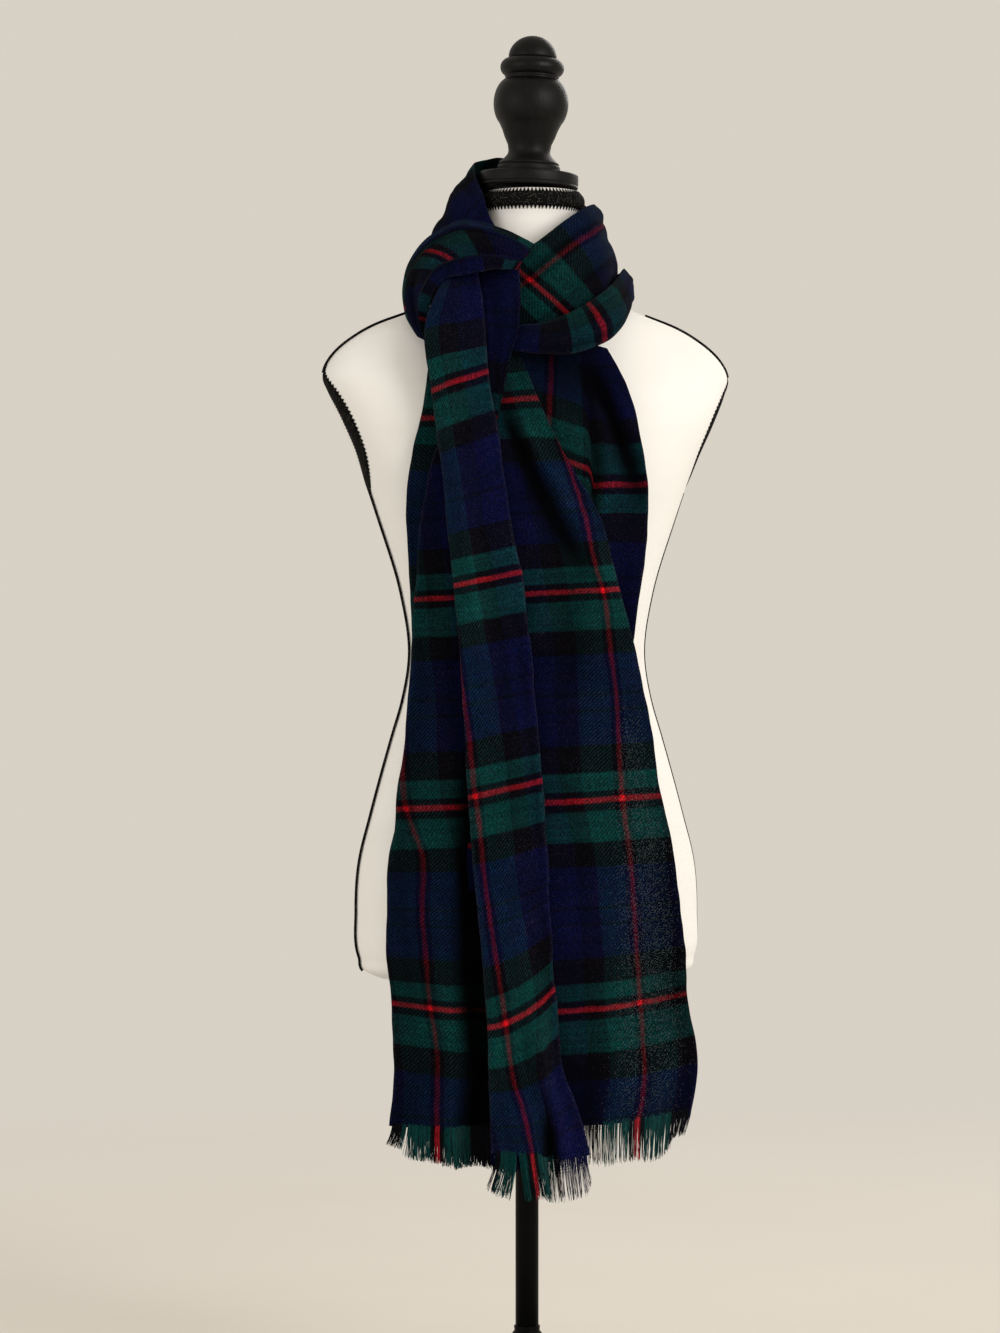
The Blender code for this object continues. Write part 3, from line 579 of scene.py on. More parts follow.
# Fringes, with values at shares of the hem: slants is how far the tips lie along it, thick how thick the yarns
# are, dense how many are left, loose how freely they stray. A gap has no yarns. A crossing is a weft yarn from
# one share to another, this far below the hem.
FRINGES = {
    "fringe_front": dict(
        stretch="tail_front", length=42, gaps=((0.193, 0.218),),
        slants=((0, -11), (0.15, -9), (0.195, -8), (0.215, 3), (0.4, 4), (0.6, 1), (1, 3)),
        thick=((0, 1), (0.03, 1.6), (0.46, 1.7), (0.53, 0.9), (1, 1)),
        dense=((0, 1), (0.48, 1), (0.54, 0.6), (0.8, 0.6), (1, 0.85)),
        loose=((0, 0.9), (0.2, 0.5), (0.3, 0.3), (0.45, 0.4), (0.6, 1), (1, 1)),
        lengths=((0, 0.8), (0.19, 0.95), (0.22, 0.98), (0.5, 1), (0.9, 0.98), (0.96, 0.86), (1, 0.6)),
        crossings=((0.54, 1, 1.5), (0.53, 1, 4), (0.55, 0.98, 6.5), (0.5, 0.95, 9), (0.58, 0.97, 12)),
    ),
    "fringe_wide": dict(
        stretch="tail_wide", length=39, gaps=((0.046, 0.05), (0.535, 0.54), (0.745, 0.748)),
        slants=((0, -5), (0.05, -3), (0.055, 1), (0.2, 3), (0.6, 3), (0.9, 0), (1, -5)),
        thick=((0, 1.4), (0.3, 2.1), (0.5, 1.8), (0.56, 0.95), (0.8, 1.15), (1, 1.2)),
        dense=((0, 1), (0.5, 1), (0.56, 0.7), (0.62, 0.65), (0.74, 0.7), (0.82, 1), (1, 1)),
        loose=((0, 0.9), (0.05, 0.25), (0.4, 0.25), (0.55, 0.9), (0.8, 0.8), (1, 1)),
        lengths=(
            (0, 0.45), (0.045, 0.5), (0.052, 0.74), (0.12, 0.84), (0.2, 0.95), (0.3, 1), (0.9, 1),
            (0.94, 0.85), (0.955, 0.6), (1, 0.55),
        ),
        crossings=((0.52, 0.82, 1.5), (0.66, 0.8, 3.5)),
    ),
    "fringe_under": dict(
        stretch="tail_under", length=37, gaps=(), slants=0, thick=1.2, dense=0.8, loose=1, lengths=1,
        crossings=(),
    ),
}


# --- Materials ---


def rgba(colour):
    """An opaque colour, from a colour or a grey."""
    return (*colour, 1) if hasattr(colour, "__len__") else (colour, colour, colour, 1)


class Finish:
    """A material, and short ways to add nodes. A value is a number, a colour or another node's output."""

    def __init__(self, name, roughness, specular, **fixed):
        self.material = bpy.data.materials.new(name)
        self.material.use_nodes = True
        self.tree = self.material.node_tree
        self.shader = self.tree.nodes["Principled BSDF"]
        self.set("Roughness", roughness)
        self.set("Specular IOR Level", specular)
        for socket, value in fixed.items():
            self.set(socket.replace("_", " "), value)

    def set(self, socket, value):
        self.plug(value, self.shader.inputs[socket])

    def plug(self, value, socket):
        if isinstance(value, bpy.types.NodeSocket):
            self.tree.links.new(value, socket)
        else:
            socket.default_value = rgba(value) if socket.type == "RGBA" else value

    def node(self, kind, *values, out=0, **settings):
        made = self.tree.nodes.new("ShaderNode" + kind)
        for key, value in settings.items():
            setattr(made, key, value)
        for socket, value in zip(made.inputs, values):
            if value is not None:
                self.plug(value, socket)
        return made.outputs[out]

    def math(self, operation, *values):
        return self.node("Math", *values, operation=operation)

    def scaled(self, value, factor, offset):
        return self.math("MULTIPLY_ADD", value, factor, offset)

    def vector(self, operation, *values, out=0):
        return self.node("VectorMath", *values, operation=operation, out=out)

    def attribute(self, name):
        return self.node("Attribute", attribute_name=name, out=2)

    def place(self):
        """The place on the object, in metres."""
        return self.node("TexCoord", out=3)

    def grey(self, value):
        return self.node("CombineXYZ", value, value, value)

    def mix(self, factor, a, b, blend="MIX"):
        made = self.tree.nodes.new("ShaderNodeMix")
        made.data_type, made.blend_type = "RGBA", blend
        for name, value in (("Factor_Float", factor), ("A_Color", a), ("B_Color", b)):
            self.plug(value, next(s for s in made.inputs if s.identifier == name))
        return next(s for s in made.outputs if s.identifier == "Result_Color")

    def times(self, a, b):
        return self.mix(1.0, a, b, "MULTIPLY")

    def ramp(self, factor, stops):
        """stops is (place from 0 to 1, colour or grey) in order."""
        made = self.tree.nodes.new("ShaderNodeValToRGB")
        elements = made.color_ramp.elements
        while len(elements) < len(stops):
            elements.new(1)
        for element, (place, colour) in zip(elements, stops):
            element.position, element.color = place, rgba(colour)
        self.plug(factor, made.inputs[0])
        return made.outputs[0]

    def noise(self, vector, scale, detail=2.0, roughness=0.5, out=0):
        return self.node("TexNoise", vector, None, scale, detail, roughness, out=out)

    def bump(self, height, distance, strength):
        made = self.tree.nodes.new("ShaderNodeBump")
        for name, value in (("Height", height), ("Distance", distance), ("Strength", strength)):
            self.plug(value, made.inputs[name])
        self.set("Normal", made.outputs[0])

    def uv(self, strays=()):
        """The place on the cloth in metres: across, along, and both as a vector."""
        vector = self.node("UVMap", uv_map="cloth")
        for scale, far in strays:
            centred = self.vector("SUBTRACT", self.noise(vector, scale, 1.0, out=1), (0.5, 0.5, 0.5))
            vector = self.vector("MULTIPLY_ADD", centred, (far * MM,) * 3, vector)
        split = self.tree.nodes.new("ShaderNodeSeparateXYZ")
        self.plug(vector, split.inputs[0])
        return split.outputs[0], split.outputs[1], vector


def stripe_stops(stripes, repeat, last):
    """Colour ramp stops for a table of stripes, each running a little into the next."""
    stops = [(0, YARNS[stripes[0][1]])]
    for (_, before), (at, yarn) in zip(stripes, stripes[1:]):
        stops += [((at - STRIPE_BLUR) / repeat, YARNS[before]), ((at + STRIPE_BLUR) / repeat, YARNS[yarn])]
    return stops + [(1, YARNS[last])]


def warp_colour(finish, across):
    half = WARP_HALF * MM
    place = finish.math("DIVIDE", finish.math("PINGPONG", finish.math("ABSOLUTE", across), half), half)
    return finish.ramp(place, stripe_stops(WARP_STRIPES, WARP_HALF, NAVY))


def weft_colour(finish, along):
    place = finish.math("FRACT", finish.math("DIVIDE", along, WEFT_REPEAT * MM))
    return finish.ramp(place, stripe_stops(WEFT_STRIPES, WEFT_REPEAT, RED))


def heather(finish, colour, yarn_number, vector, scale):
    """Each yarn a little lighter or darker than the next, and flecked along its length."""
    yarn = finish.node("TexWhiteNoise", None, yarn_number, noise_dimensions="1D")
    fleck = finish.noise(vector, scale, 2.0, 0.7)
    flecked = finish.math("MAXIMUM", finish.scaled(fleck, *FLECK_LIGHT), 0.0)
    light = finish.math("ADD", finish.scaled(yarn, *YARN_LIGHT), flecked)
    return finish.times(colour, finish.grey(light))


def specks(finish, vector, share, pitch, radius):
    """1 in small round specks, one in each cell of a grid. share is how many of the cells have one."""
    cell = finish.vector("DIVIDE", vector, (pitch * MM,) * 3)
    number = finish.vector("FLOOR", cell)
    chance, aside = (finish.node("TexWhiteNoise", number, noise_dimensions="2D", out=out) for out in (0, 1))
    centre = finish.vector("MULTIPLY_ADD", aside, (0.5, 0.5, 0), (0.25, 0.25, 0))
    off_centre = finish.vector("SUBTRACT", finish.vector("FRACTION", cell), centre)
    distance = finish.vector("LENGTH", finish.vector("MULTIPLY", off_centre, (1, 1, 0)), out=1)
    near = finish.math("LESS_THAN", distance, radius / pitch)
    return finish.math("MULTIPLY", finish.math("LESS_THAN", chance, share), near)


def tartan_finish():
    finish = Finish("tartan_wool", 0.95, 0.01, Sheen_Weight=0.015, Sheen_Roughness=0.6, Sheen_Tint=WOOL_SHEEN)
    across, along, vector = finish.uv(YARN_STRAYS)
    warp_count, weft_count = (finish.math("DIVIDE", way, YARN_PITCH * MM) for way in (across, along))
    warp_number, weft_number = (finish.math("FLOOR", count) for count in (warp_count, weft_count))
    plain_warp = warp_colour(finish, across)
    red = finish.math("MULTIPLY", finish.node("SeparateColor", plain_warp), 1 / YARNS[RED][0])
    warp = heather(finish, plain_warp, warp_number, vector, WARP_FLECKS)
    weft = heather(finish, weft_colour(finish, along), weft_number, vector, WEFT_FLECKS)
    # The warp is on top for one yarn in each repeat, a yarn further on in each row: the slanting lines.
    diagonal = finish.math("ADD", warp_number, weft_number)
    step = finish.math("FRACT", finish.scaled(diagonal, 1 / TWILL, 0.5 / TWILL))
    warp_on_top = finish.math("LESS_THAN", step, 1 / TWILL)
    cover = finish.scaled(red, COVER_RED, finish.scaled(warp_on_top, COVER_ON_TOP, COVER_UNDER))
    shown_warp = finish.mix(red, warp, finish.times(warp, RED_WARP_LIGHT))
    shown = finish.times(finish.mix(cover, weft, shown_warp), MIXED_LIGHT)
    # Where both yarns have one colour, it is deeper.
    shown = finish.mix(1.0, shown, finish.times(finish.times(warp, weft), SAME_COLOUR_DEPTH), "ADD")
    # The nap veils the weave with fine pale fibres. Near the cloth's edges the veil is thicker: a painted sheen, of
    # the fuzz on an edge catching the light.
    fibre = finish.ramp(finish.noise(vector, 1150, 3.0, 0.7), [(0.53, 0.0), (0.72, 1.0)])
    veil = finish.math("MULTIPLY", fibre, finish.scaled(finish.attribute("edge"), VEIL_AT_EDGE, VEIL))
    shown = finish.mix(veil, shown, FIBRE_COLOUR)
    # Painted shade and light of the twill's relief: darker along its diagonal grooves, lighter on the ridges between
    # them.
    slope = finish.scaled(finish.math("ADD", warp_count, weft_count), 1 / TWILL, 0.3)
    groove = finish.scaled(finish.math("PINGPONG", slope, 0.5), *GROOVE_LIGHT)
    slanting = finish.node("Mapping", vector, None, (0, 0, -math.pi / 4), (520.0, 230.0, 1.0))
    brushed = finish.ramp(finish.noise(slanting, 1.0, 2.0, 0.7), [(0.32, 0.62), (0.68, 1.38)])
    tint = finish.ramp(finish.noise(vector, 48), [(0.35, (1.22, 0.94, 1.0)), (0.65, (0.82, 1.05, 1.0))])
    patches = finish.ramp(finish.noise(vector, 26, 4.0, 0.6), [(0.3, 0.78), (0.7, 1.22)])
    # The groove and the mesh's brightness attribute are painted shade and light; the brushed streaks, the tint and the
    # patches vary at random.
    for light in (finish.grey(groove), brushed, tint, patches, finish.grey(finish.attribute("painted_shading"))):
        shown = finish.times(shown, light)
    # Painted light: pale specks where light comes through between the yarns, where the cloth hangs singly.
    through = specks(finish, vector, finish.attribute("specks"), SPECK_PITCH, SPECK_RADIUS)
    finish.set("Base Color", finish.mix(through, shown, SPECK_COLOUR))

    def ridge(count):
        offset = finish.scaled(finish.math("FRACT", count), 2.0, -1.0)
        return finish.math("SUBTRACT", 1.0, finish.math("MULTIPLY", offset, offset))

    over = finish.math("MULTIPLY", warp_on_top, ridge(warp_count))
    under = finish.math("MULTIPLY", finish.math("SUBTRACT", 1.0, warp_on_top), ridge(weft_count))
    fluff = finish.noise(vector, 1300, 3.0, 0.6)
    finish.bump(finish.scaled(finish.math("ADD", over, under), 0.5, fluff), 0.00035, 0.9)
    return finish.material


def yarn_finish():
    """The fringe: warp yarns alone, twisted."""
    finish = Finish("fringe_yarn", 0.9, 0.05, Sheen_Weight=0.06, Sheen_Roughness=0.5, Sheen_Tint=YARN_SHEEN)
    across, along, vector = finish.uv()
    number = finish.math("FLOOR", finish.math("DIVIDE", across, FRINGE_PITCH * MM))
    colour = heather(finish, warp_colour(finish, across), number, vector, FRINGE_FLECKS)
    # Painted light: the loose yarns painted lighter, as they look with light coming through them.
    finish.set("Base Color", finish.times(colour, FRINGE_PAINTED_BACKLIGHT))
    twist = finish.scaled(along, TWIST_ALONG, finish.math("MULTIPLY", across, TWIST_ACROSS))
    finish.bump(finish.math("SINE", twist), 0.0002, 0.5)
    return finish.material


def chevrons(finish, across, along, wide, tall, slant):
    """Columns of slanting rows: the place within the column, and the number of the row with its fraction."""
    column = finish.math("FRACT", finish.math("DIVIDE", across, wide * MM))
    from_middle = finish.math("ABSOLUTE", finish.math("SUBTRACT", column, 0.5))
    return column, finish.scaled(from_middle, slant, finish.math("DIVIDE", along, tall * MM))


def jersey_finish():
    """Knitted stitches: columns of small chevrons."""
    finish = Finish("form_jersey", 0.82, 0.25, Sheen_Weight=0.12, Sheen_Roughness=0.5)
    across, along, vector = finish.uv()
    column, row = chevrons(finish, across, along, STITCH_WIDE, STITCH_TALL, -1.2)
    round_across = finish.math("PINGPONG", finish.math("MULTIPLY", column, 2.0), 1.0)
    stitch = finish.math("MULTIPLY", finish.math("PINGPONG", finish.math("FRACT", row), 0.5), round_across)
    patches = finish.noise(vector, 9, 4.0, 0.6)
    cream = finish.ramp(patches, [(0.3, (0.84, 0.825, 0.79)), (0.7, (0.88, 0.87, 0.84))])
    # Painted shade and light of the knit's relief: darker between the stitches, lighter on their rounds.
    finish.set("Base Color", finish.times(cream, finish.grey(finish.scaled(stitch, *STITCH_LIGHT))))
    finish.bump(finish.scaled(finish.noise(vector, 1600), 0.3, stitch), 0.00025, 0.6)
    return finish.material


def braid_finish():
    """Black picot braid and cord: short slanting ribs on both sides of a middle line, with small gaps."""
    finish = Finish("black_trim", 0.85, 0.03)
    across, along, vector = finish.uv()
    rib = finish.math("PINGPONG", chevrons(finish, across, along, RIB_WIDE, RIB_PITCH, 3.0)[1], 0.5)
    # Painted shade and light of the braid's relief: darker between the ribs, lighter on their tops.
    black = finish.ramp(rib, [(0.10, 0.0005), (0.48, (0.010, 0.010, 0.0095))])
    gaps = specks(finish, vector, BRAID_SPECK_SHARE, BRAID_SPECK_PITCH, BRAID_SPECK_RADIUS)
    finish.set("Base Color", finish.mix(gaps, black, BRAID_SPECK_COLOUR))
    finish.bump(finish.scaled(finish.noise(vector, 1800), 0.3, rib), 0.0005, 0.9)
    return finish.material


def wood_finish():
    finish = Finish("black_wood", 0.5, 0.14)
    place = finish.place()
    stretched = finish.node("Mapping", place, None, None, (60.0, 60.0, 6.0))
    grain = finish.noise(stretched, 6.0, 6.0, 0.65)
    worn = finish.noise(place, 30.0, 4.0, 0.6)
    stained = finish.ramp(grain, [(0.35, (0.0010, 0.0010, 0.0009)), (0.75, (0.0045, 0.0042, 0.0040))])
    finish.set("Base Color", stained)
    finish.set("Roughness", finish.ramp(worn, [(0.3, 0.34), (0.7, 0.52)]))
    finish.bump(grain, 0.0006, 0.5)
    return finish.material


def metal_finish():
    finish = Finish("black_metal", 0.38, 0.05)
    place = finish.place()
    worn = finish.noise(place, 14.0, 4.0, 0.6)
    finish.set("Base Color", finish.ramp(worn, [(0.3, 0.0006), (0.7, (0.0018, 0.0018, 0.0019))]))
    finish.set("Roughness", finish.ramp(worn, [(0.3, 0.32), (0.75, 0.5)]))
    orange_peel = finish.noise(place, 700.0)
    finish.bump(orange_peel, 0.0002, 0.35)
    return finish.material


# --- Meshes ---


def add_mesh(name, points, faces, material, uv=None):
    """A mesh object from points in millimetres. uv, in millimetres too, has a row for each point."""
    mesh = bpy.data.meshes.new(name)
    mesh.from_pydata((np.reshape(points, (-1, 3)) * MM).tolist(), [], [list(f) for f in faces])
    mesh.materials.append(material)
    if uv is not None:
        corner = np.empty(len(mesh.loops), np.int32)
        mesh.loops.foreach_get("vertex_index", corner)
        layer = mesh.uv_layers.new(name="cloth")
        layer.data.foreach_set("uv", (np.reshape(uv, (-1, 2))[corner] * MM).astype(np.float32).ravel())
    mesh.polygons.foreach_set("use_smooth", [True] * len(mesh.polygons))
    mesh.update()
    obj = bpy.data.objects.new(name, mesh)
    bpy.context.scene.collection.objects.link(obj)
    return obj


def grid_faces(rows, columns, closed_across=False, closed_along=False):
    i = np.arange(rows if closed_along else rows - 1)[:, None]
    j = np.arange(columns if closed_across else columns - 1)[None, :]
    k, m = (i + 1) % rows, (j + 1) % columns
    corners = [i * columns + j, k * columns + j, k * columns + m, i * columns + m]
    return np.stack(corners, axis=-1).reshape(-1, 4)


def capped(faces, rows, columns):
    """The faces of a grid, with a face over its first row and one over its last."""
    last = (rows - 1) * columns
    return [*faces, range(columns)[::-1], range(last, last + columns)]


def stand_for(obj, slot, node):
    """obj takes the place of this node of the model and its finish's slot."""
    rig.ride(obj, "root")
    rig.replaces(obj, node)
    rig.slot(obj, slot)
    return obj


def smooth(knots, values, at):
    """A smooth curve through a table's rows, each column read at the places in at."""
    steps = np.diff(knots)[:, None]
    slopes = np.diff(values, axis=0) / steps
    inner = (slopes[:-1] * steps[1:] + slopes[1:] * steps[:-1]) / (steps[:-1] + steps[1:])
    tangents = np.vstack([slopes[:1], inner, slopes[-1:]])
    i = np.clip(np.searchsorted(knots, at, side="right") - 1, 0, len(knots) - 2)
    h = steps[i]
    t = ((at - knots[i]) / h[:, 0])[:, None]
    return (
        (2 * t**3 - 3 * t**2 + 1) * values[i]
        + (t**3 - 2 * t**2 + t) * h * tangents[i]
        + (3 * t**2 - 2 * t**3) * values[i + 1]
        + (t**3 - t**2) * h * tangents[i + 1]
    )


def read(table, at):
    """The value at each place in at, from a table of (place, value) or from one value for all."""
    return np.full_like(at, table) if np.isscalar(table) else np.interp(at, *np.transpose(table))


def unit(vectors):
    return vectors / np.linalg.norm(vectors, axis=-1, keepdims=True)


def ease(t):
    t = np.clip(t, 0, 1)
    return t * t * (3 - 2 * t)


def run(points):
    """How far along each point is, on a line of points or on each row of a grid."""
    steps = np.linalg.norm(np.diff(points, axis=-2), axis=-1)
    return np.concatenate([np.zeros((*steps.shape[:-1], 1)), np.cumsum(steps, axis=-1)], axis=-1)


# --- Dress form ---


def form_ring(height):
    """The torso's half width, depth in front, depth behind and squareness at each height."""
    table = np.array(FORM_RINGS, float)
    return [column.reshape(height.shape) for column in smooth(table[:, 0], table[:, 1:], height.ravel()).T]


def bust(across, height):
    away = ((np.abs(across) - BUST_APART) / BUST_SPREAD) ** 2 + ((height - BUST_HEIGHT) / BUST_SPREAD) ** 2
    return BUST_OUT * np.exp(-away)


def neck_lean(height):
    return NECK_LEAN * np.clip((height - LEAN_FROM) / (NECK_TOP - LEAN_FROM), 0, 1)


def as_it_stands(x, y, height):
    """Points of the form's own frame, turned and leaning."""
    c, s = math.cos(FORM_TURN), math.sin(FORM_TURN)
    return np.stack([x * c - y * s + neck_lean(height), x * s + y * c, height], axis=-1)


def superellipse(angle, size, power):
    return size * np.sign(angle) * np.abs(angle) ** (2 / power)


def form_point(height, angle):
    """A point of the torso's surface. angle is 0 at the front and grows towards +X."""
    height, angle = np.broadcast_arrays(np.asarray(height, float), np.asarray(angle, float))
    half_width, front, back, power = form_ring(height)
    sine, cosine = np.sin(angle), np.cos(angle)
    x = superellipse(sine, half_width, power)
    y = -superellipse(cosine, np.where(cosine > 0, front, back), power)
    return as_it_stands(x, y - bust(x, height) * np.clip(cosine, 0, 1), height)


def form_normal(height, angle):
    up = form_point(height + 0.5, angle) - form_point(height - 0.5, angle)
    round_it = form_point(height, angle + 0.01) - form_point(height, angle - 0.01)
    return unit(np.cross(round_it, up))


def clear_of_form(points):
    """Points in front of the torso, moved forward where they would lie inside it."""
    x, y, height = np.moveaxis(points, -1, 0)
    half_width, front, _, power = form_ring(np.clip(height, FORM_BOTTOM, NECK_TOP))
    c, s = math.cos(FORM_TURN), math.sin(FORM_TURN)
    x = x - neck_lean(height)
    own_x, own_y = x * c + y * s, y * c - x * s
    surface = -front * np.clip(1 - (np.abs(own_x) / half_width) ** power, 0, 1) ** (1 / power)
    back_below = FORM_UNDERCUT * np.clip(FORM_BOTTOM - height, 0, None)
    limit = surface - bust(own_x, height) - FORM_GAP + back_below
    covers = (own_y < 0) & (np.abs(own_x) < half_width)
    return as_it_stands(own_x, np.where(covers, np.minimum(own_y, limit), own_y), height)


def make_torso(jersey):
    rim = np.linspace(FORM_BOTTOM, FORM_BOTTOM + 20, 14)
    heights = np.concatenate([rim[:-1], np.linspace(rim[-1], NECK_TOP, 240)])
    points = form_point(heights[:, None], np.linspace(0, 2 * math.pi, 161)[None, :])
    rows, columns = points.shape[:2]
    uv = np.stack([run(points), points[..., 2]], axis=-1)
    faces = [f[::-1] for f in capped(grid_faces(rows, columns), rows, columns)]
    stand_for(add_mesh("torso_jersey", points, faces, jersey, uv), "form_jersey", "torso")


def make_tape(name, inner, outer, braid, node):
    """A braided tape on the torso. inner and outer are rows of (height, angle), one behind the other."""
    shares = np.linspace(0, 1, 9)
    from_middle = 2 * shares - 1
    length = run(form_point(*((inner + outer) / 2).T))[:, None]
    wide = np.linalg.norm(form_point(*outer.T) - form_point(*inner.T), axis=1)[:, None]
    # Small loops stand out along both edges.
    picots = PICOT_TALL * (0.5 - 0.5 * np.cos(2 * math.pi * length / PICOT_PITCH)) ** 1.4
    spread = shares + from_middle * (np.abs(from_middle) > 0.98) * picots / wide
    height, angle = np.moveaxis(inner[:, None] + (outer - inner)[:, None] * spread[..., None], -1, 0)
    surface, out = form_point(height, angle), form_normal(height, angle)
    thick = TAPE_EDGE + TAPE_CROWN * np.clip(1 - np.abs(from_middle) ** 6, 0, 1)
    rings = np.concatenate([surface + out * thick[:, None], (surface + out * TAPE_UNDER)[:, ::-1]], axis=1)
    across = np.concatenate([shares, shares[::-1]]) * wide
    uv = np.stack(np.broadcast_arrays(across, length), axis=-1)
    faces = grid_faces(*across.shape, closed_across=True, closed_along=True)
    stand_for(add_mesh(name, rings, faces, braid, uv), "black_trim", node)


def make_tapes(braid):
    turns = np.linspace(0, 2 * math.pi, 760, endpoint=False)
    edges = [np.stack([np.full_like(turns, height), turns], axis=1) for height in NECK_TAPE]
    make_tape("neck_braid", *edges, braid, "neck_tape")
    turns = np.linspace(0, 2 * math.pi, 620, endpoint=False)
    sine, cosine = np.sin(turns), np.cos(turns)
    for side, hand in SIDES:
        middle = ARMHOLE_HEIGHT + np.where(sine < 0, ARMHOLE_LONGER, ARMHOLE_HIGHER) * sine
        centre = side * (math.pi / 2 + ARMHOLE_BACK)
        edges = [
            np.stack([middle + tall * sine, centre + math.radians(wide) * cosine], axis=1)
            for tall, wide in ARMHOLE_EDGES
        ]
        make_tape(f"armhole_braid_{hand}", *edges, braid, f"armhole_tape_{hand}")


def make_piping(name, side, low, high, braid, node):
    angle = side * math.pi / 2
    heights = np.linspace(low, high, int((high - low) / PIPING_STEP))
    out = form_normal(heights, angle)
    middle = form_point(heights, angle) + out * (PIPING_TALL / 2 + PIPING_LIFT)
    across = unit(np.cross(np.gradient(middle, axis=0), out))
    turns = np.linspace(0, 2 * math.pi, 12, endpoint=False)[:, None]
    ring = PIPING_TALL / 2 * np.cos(turns) * out[:, None] + PIPING_WIDE / 2 * np.sin(turns) * across[:, None]
    uv = np.stack(np.broadcast_arrays(turns.T * PIPING_TALL / 2, heights[:, None]), axis=-1)
    rows, columns = ring.shape[:2]
    faces = capped(grid_faces(rows, columns, closed_across=True), rows, columns)
    stand_for(add_mesh(name, middle[:, None] + ring, faces, braid, uv), "black_trim", node)


def turned(name, outline, material, slot, node, segments=96, place_at=(0, 0, 0), tilt=0.0):
    """A piece turned on a lathe. outline is (radius, height) from its top to its bottom."""
    radius, height = np.array(outline, float).T[..., None]
    turns = np.linspace(0, 2 * math.pi, segments, endpoint=False)
    x, y, z = np.broadcast_arrays(radius * np.cos(turns), radius * np.sin(turns), height)
    c, s = math.cos(tilt), math.sin(tilt)
    points = np.stack([x * c + z * s, y, z * c - x * s], axis=-1) + np.array(place_at)
    faces = capped(grid_faces(len(outline), segments, closed_across=True), len(outline), segments)
    obj = add_mesh(name, points, [f[::-1] for f in faces], material)
    bevel = obj.modifiers.new("round_edges", "BEVEL")
    bevel.width, bevel.segments = 0.6 * MM, 2
    bevel.limit_method, bevel.angle_limit = "ANGLE", math.radians(38)
    stand_for(obj, slot, node)


def arc(centre_r, centre_z, radius_r, radius_z, start, end, count):
    angles = np.radians(np.linspace(start, end, count))
    return [(centre_r + radius_r * math.cos(a), centre_z + radius_z * math.sin(a)) for a in angles]


def make_cap_and_finial(wood):
    edge = CAP_RADIUS - 0.5
    cap = [(0.5, CAP_HEIGHT), (46.5, CAP_HEIGHT)] + arc(46.5, CAP_HEIGHT - 2, 2, 2, 80, 0, 4)
    cap += [(CAP_RADIUS, 4), (edge, 3.4), (edge, 2.6), (CAP_RADIUS, 2), (CAP_RADIUS, 1), (47.5, 0), (0.5, 0)]
    # From the round top, over the bead and the vase, to the foot.
    finial = [(0.5, 133.5)] + arc(0, 112, 23.5, 21.5, 84, 6, 16)
    finial += [(23.2, 112.2), (22.4, 111.6), (22.4, 111)] + arc(22, 102.5, 9, 9, 76, -62, 14)
    finial += [(26.4, 94), (26.0, 93)] + arc(20, 68, 16.4, 25, 70, -52, 20)
    finial += [(27, 42), (24.5, 35), (21.3, 28), (20.3, 22), (20.8, 19), (22, 17), (25, 13.6), (28.5, 10.5)]
    finial += [(29.3, 9.6), (29.3, 8.4), (28.6, 7.8), (30.2, 6.8), (30.5, 6), (30.5, 1), (30, 0), (0.5, 0)]
    finial = [(radius, height + CAP_HEIGHT + GAP) for radius, height in finial]
    for name, outline, node in (("neck_cap_turned", cap, "neck_cap"), ("finial_turned", finial, "finial")):
        turned(name, outline, wood, "black_wood", node, place_at=(1, 0, CAP_BASE), tilt=CAP_TILT)


def make_stand(metal):
    dome = [(0.5, PLATE_TOP), (60, PLATE_TOP - 1.5), (120, PLATE_RIM + 5), (PLATE_RADIUS - 5, PLATE_RIM)]
    rim = arc(PLATE_RADIUS - 4, PLATE_RIM - 4, 4, 4, 80, 0, 6)
    rim += [(PLATE_RADIUS, 1), (PLATE_RADIUS - 1, 0), (0.5, 0)]
    turned("base_plate_spun", dome + rim, metal, "black_metal", "base_plate", segments=128)
    low = PLATE_TOP + GAP
    hub = [(0.5, HUB_TOP), (POLE_RADIUS + 1.5, HUB_TOP)] + arc(0, HUB_TOP - 16, HUB_NECK, 16, 44, 0, 10)
    hub += [(HUB_NECK, low + 24), (HUB_NECK + 1, low + 14), (HUB_RADIUS - 2, low + 6), (HUB_RADIUS, low + 4)]
    turned("hub_turned", hub + [(HUB_RADIUS, low), (0.5, low)], metal, "black_metal", "hub")
    top, bottom = FORM_BOTTOM - GAP, HUB_TOP + GAP
    pole = [(0.5, top), (POLE_RADIUS, top), (POLE_RADIUS, bottom), (0.5, bottom)]
    turned("pole_tube", pole, metal, "black_metal", "pole")


def make_form():
    braid = braid_finish()
    make_torso(jersey_finish())
    make_tapes(braid)
    for side, hand in SIDES:
        make_piping(f"shoulder_cord_{hand}", side, *SHOULDER_CORD, braid, f"shoulder_piping_{hand}")
        make_piping(f"side_cord_{hand}", side, *SIDE_CORD, braid, f"side_piping_{hand}")
    make_cap_and_finial(wood_finish())
    make_stand(metal_finish())


# --- Scarf ---


def fold_heights(folds, shares, along):
    """How far the cloth stands out at each place for its folds, as rows along by columns across."""
    height = np.zeros((len(along), len(shares)))
    for first, last, half_width, tall, begins, ends in folds:
        fade = min(FADE_IN, (ends - begins) / 2.2)
        grow = ease((along - begins) / fade) * ease((ends - along) / fade)
        reach = min(ends, along[-1]) - begins
        share = first + (last - first) * np.clip((along - begins) / reach, 0, 1)
        height += tall * grow[:, None] * np.exp(-(((shares - share[:, None]) / half_width) ** 2))
    return height


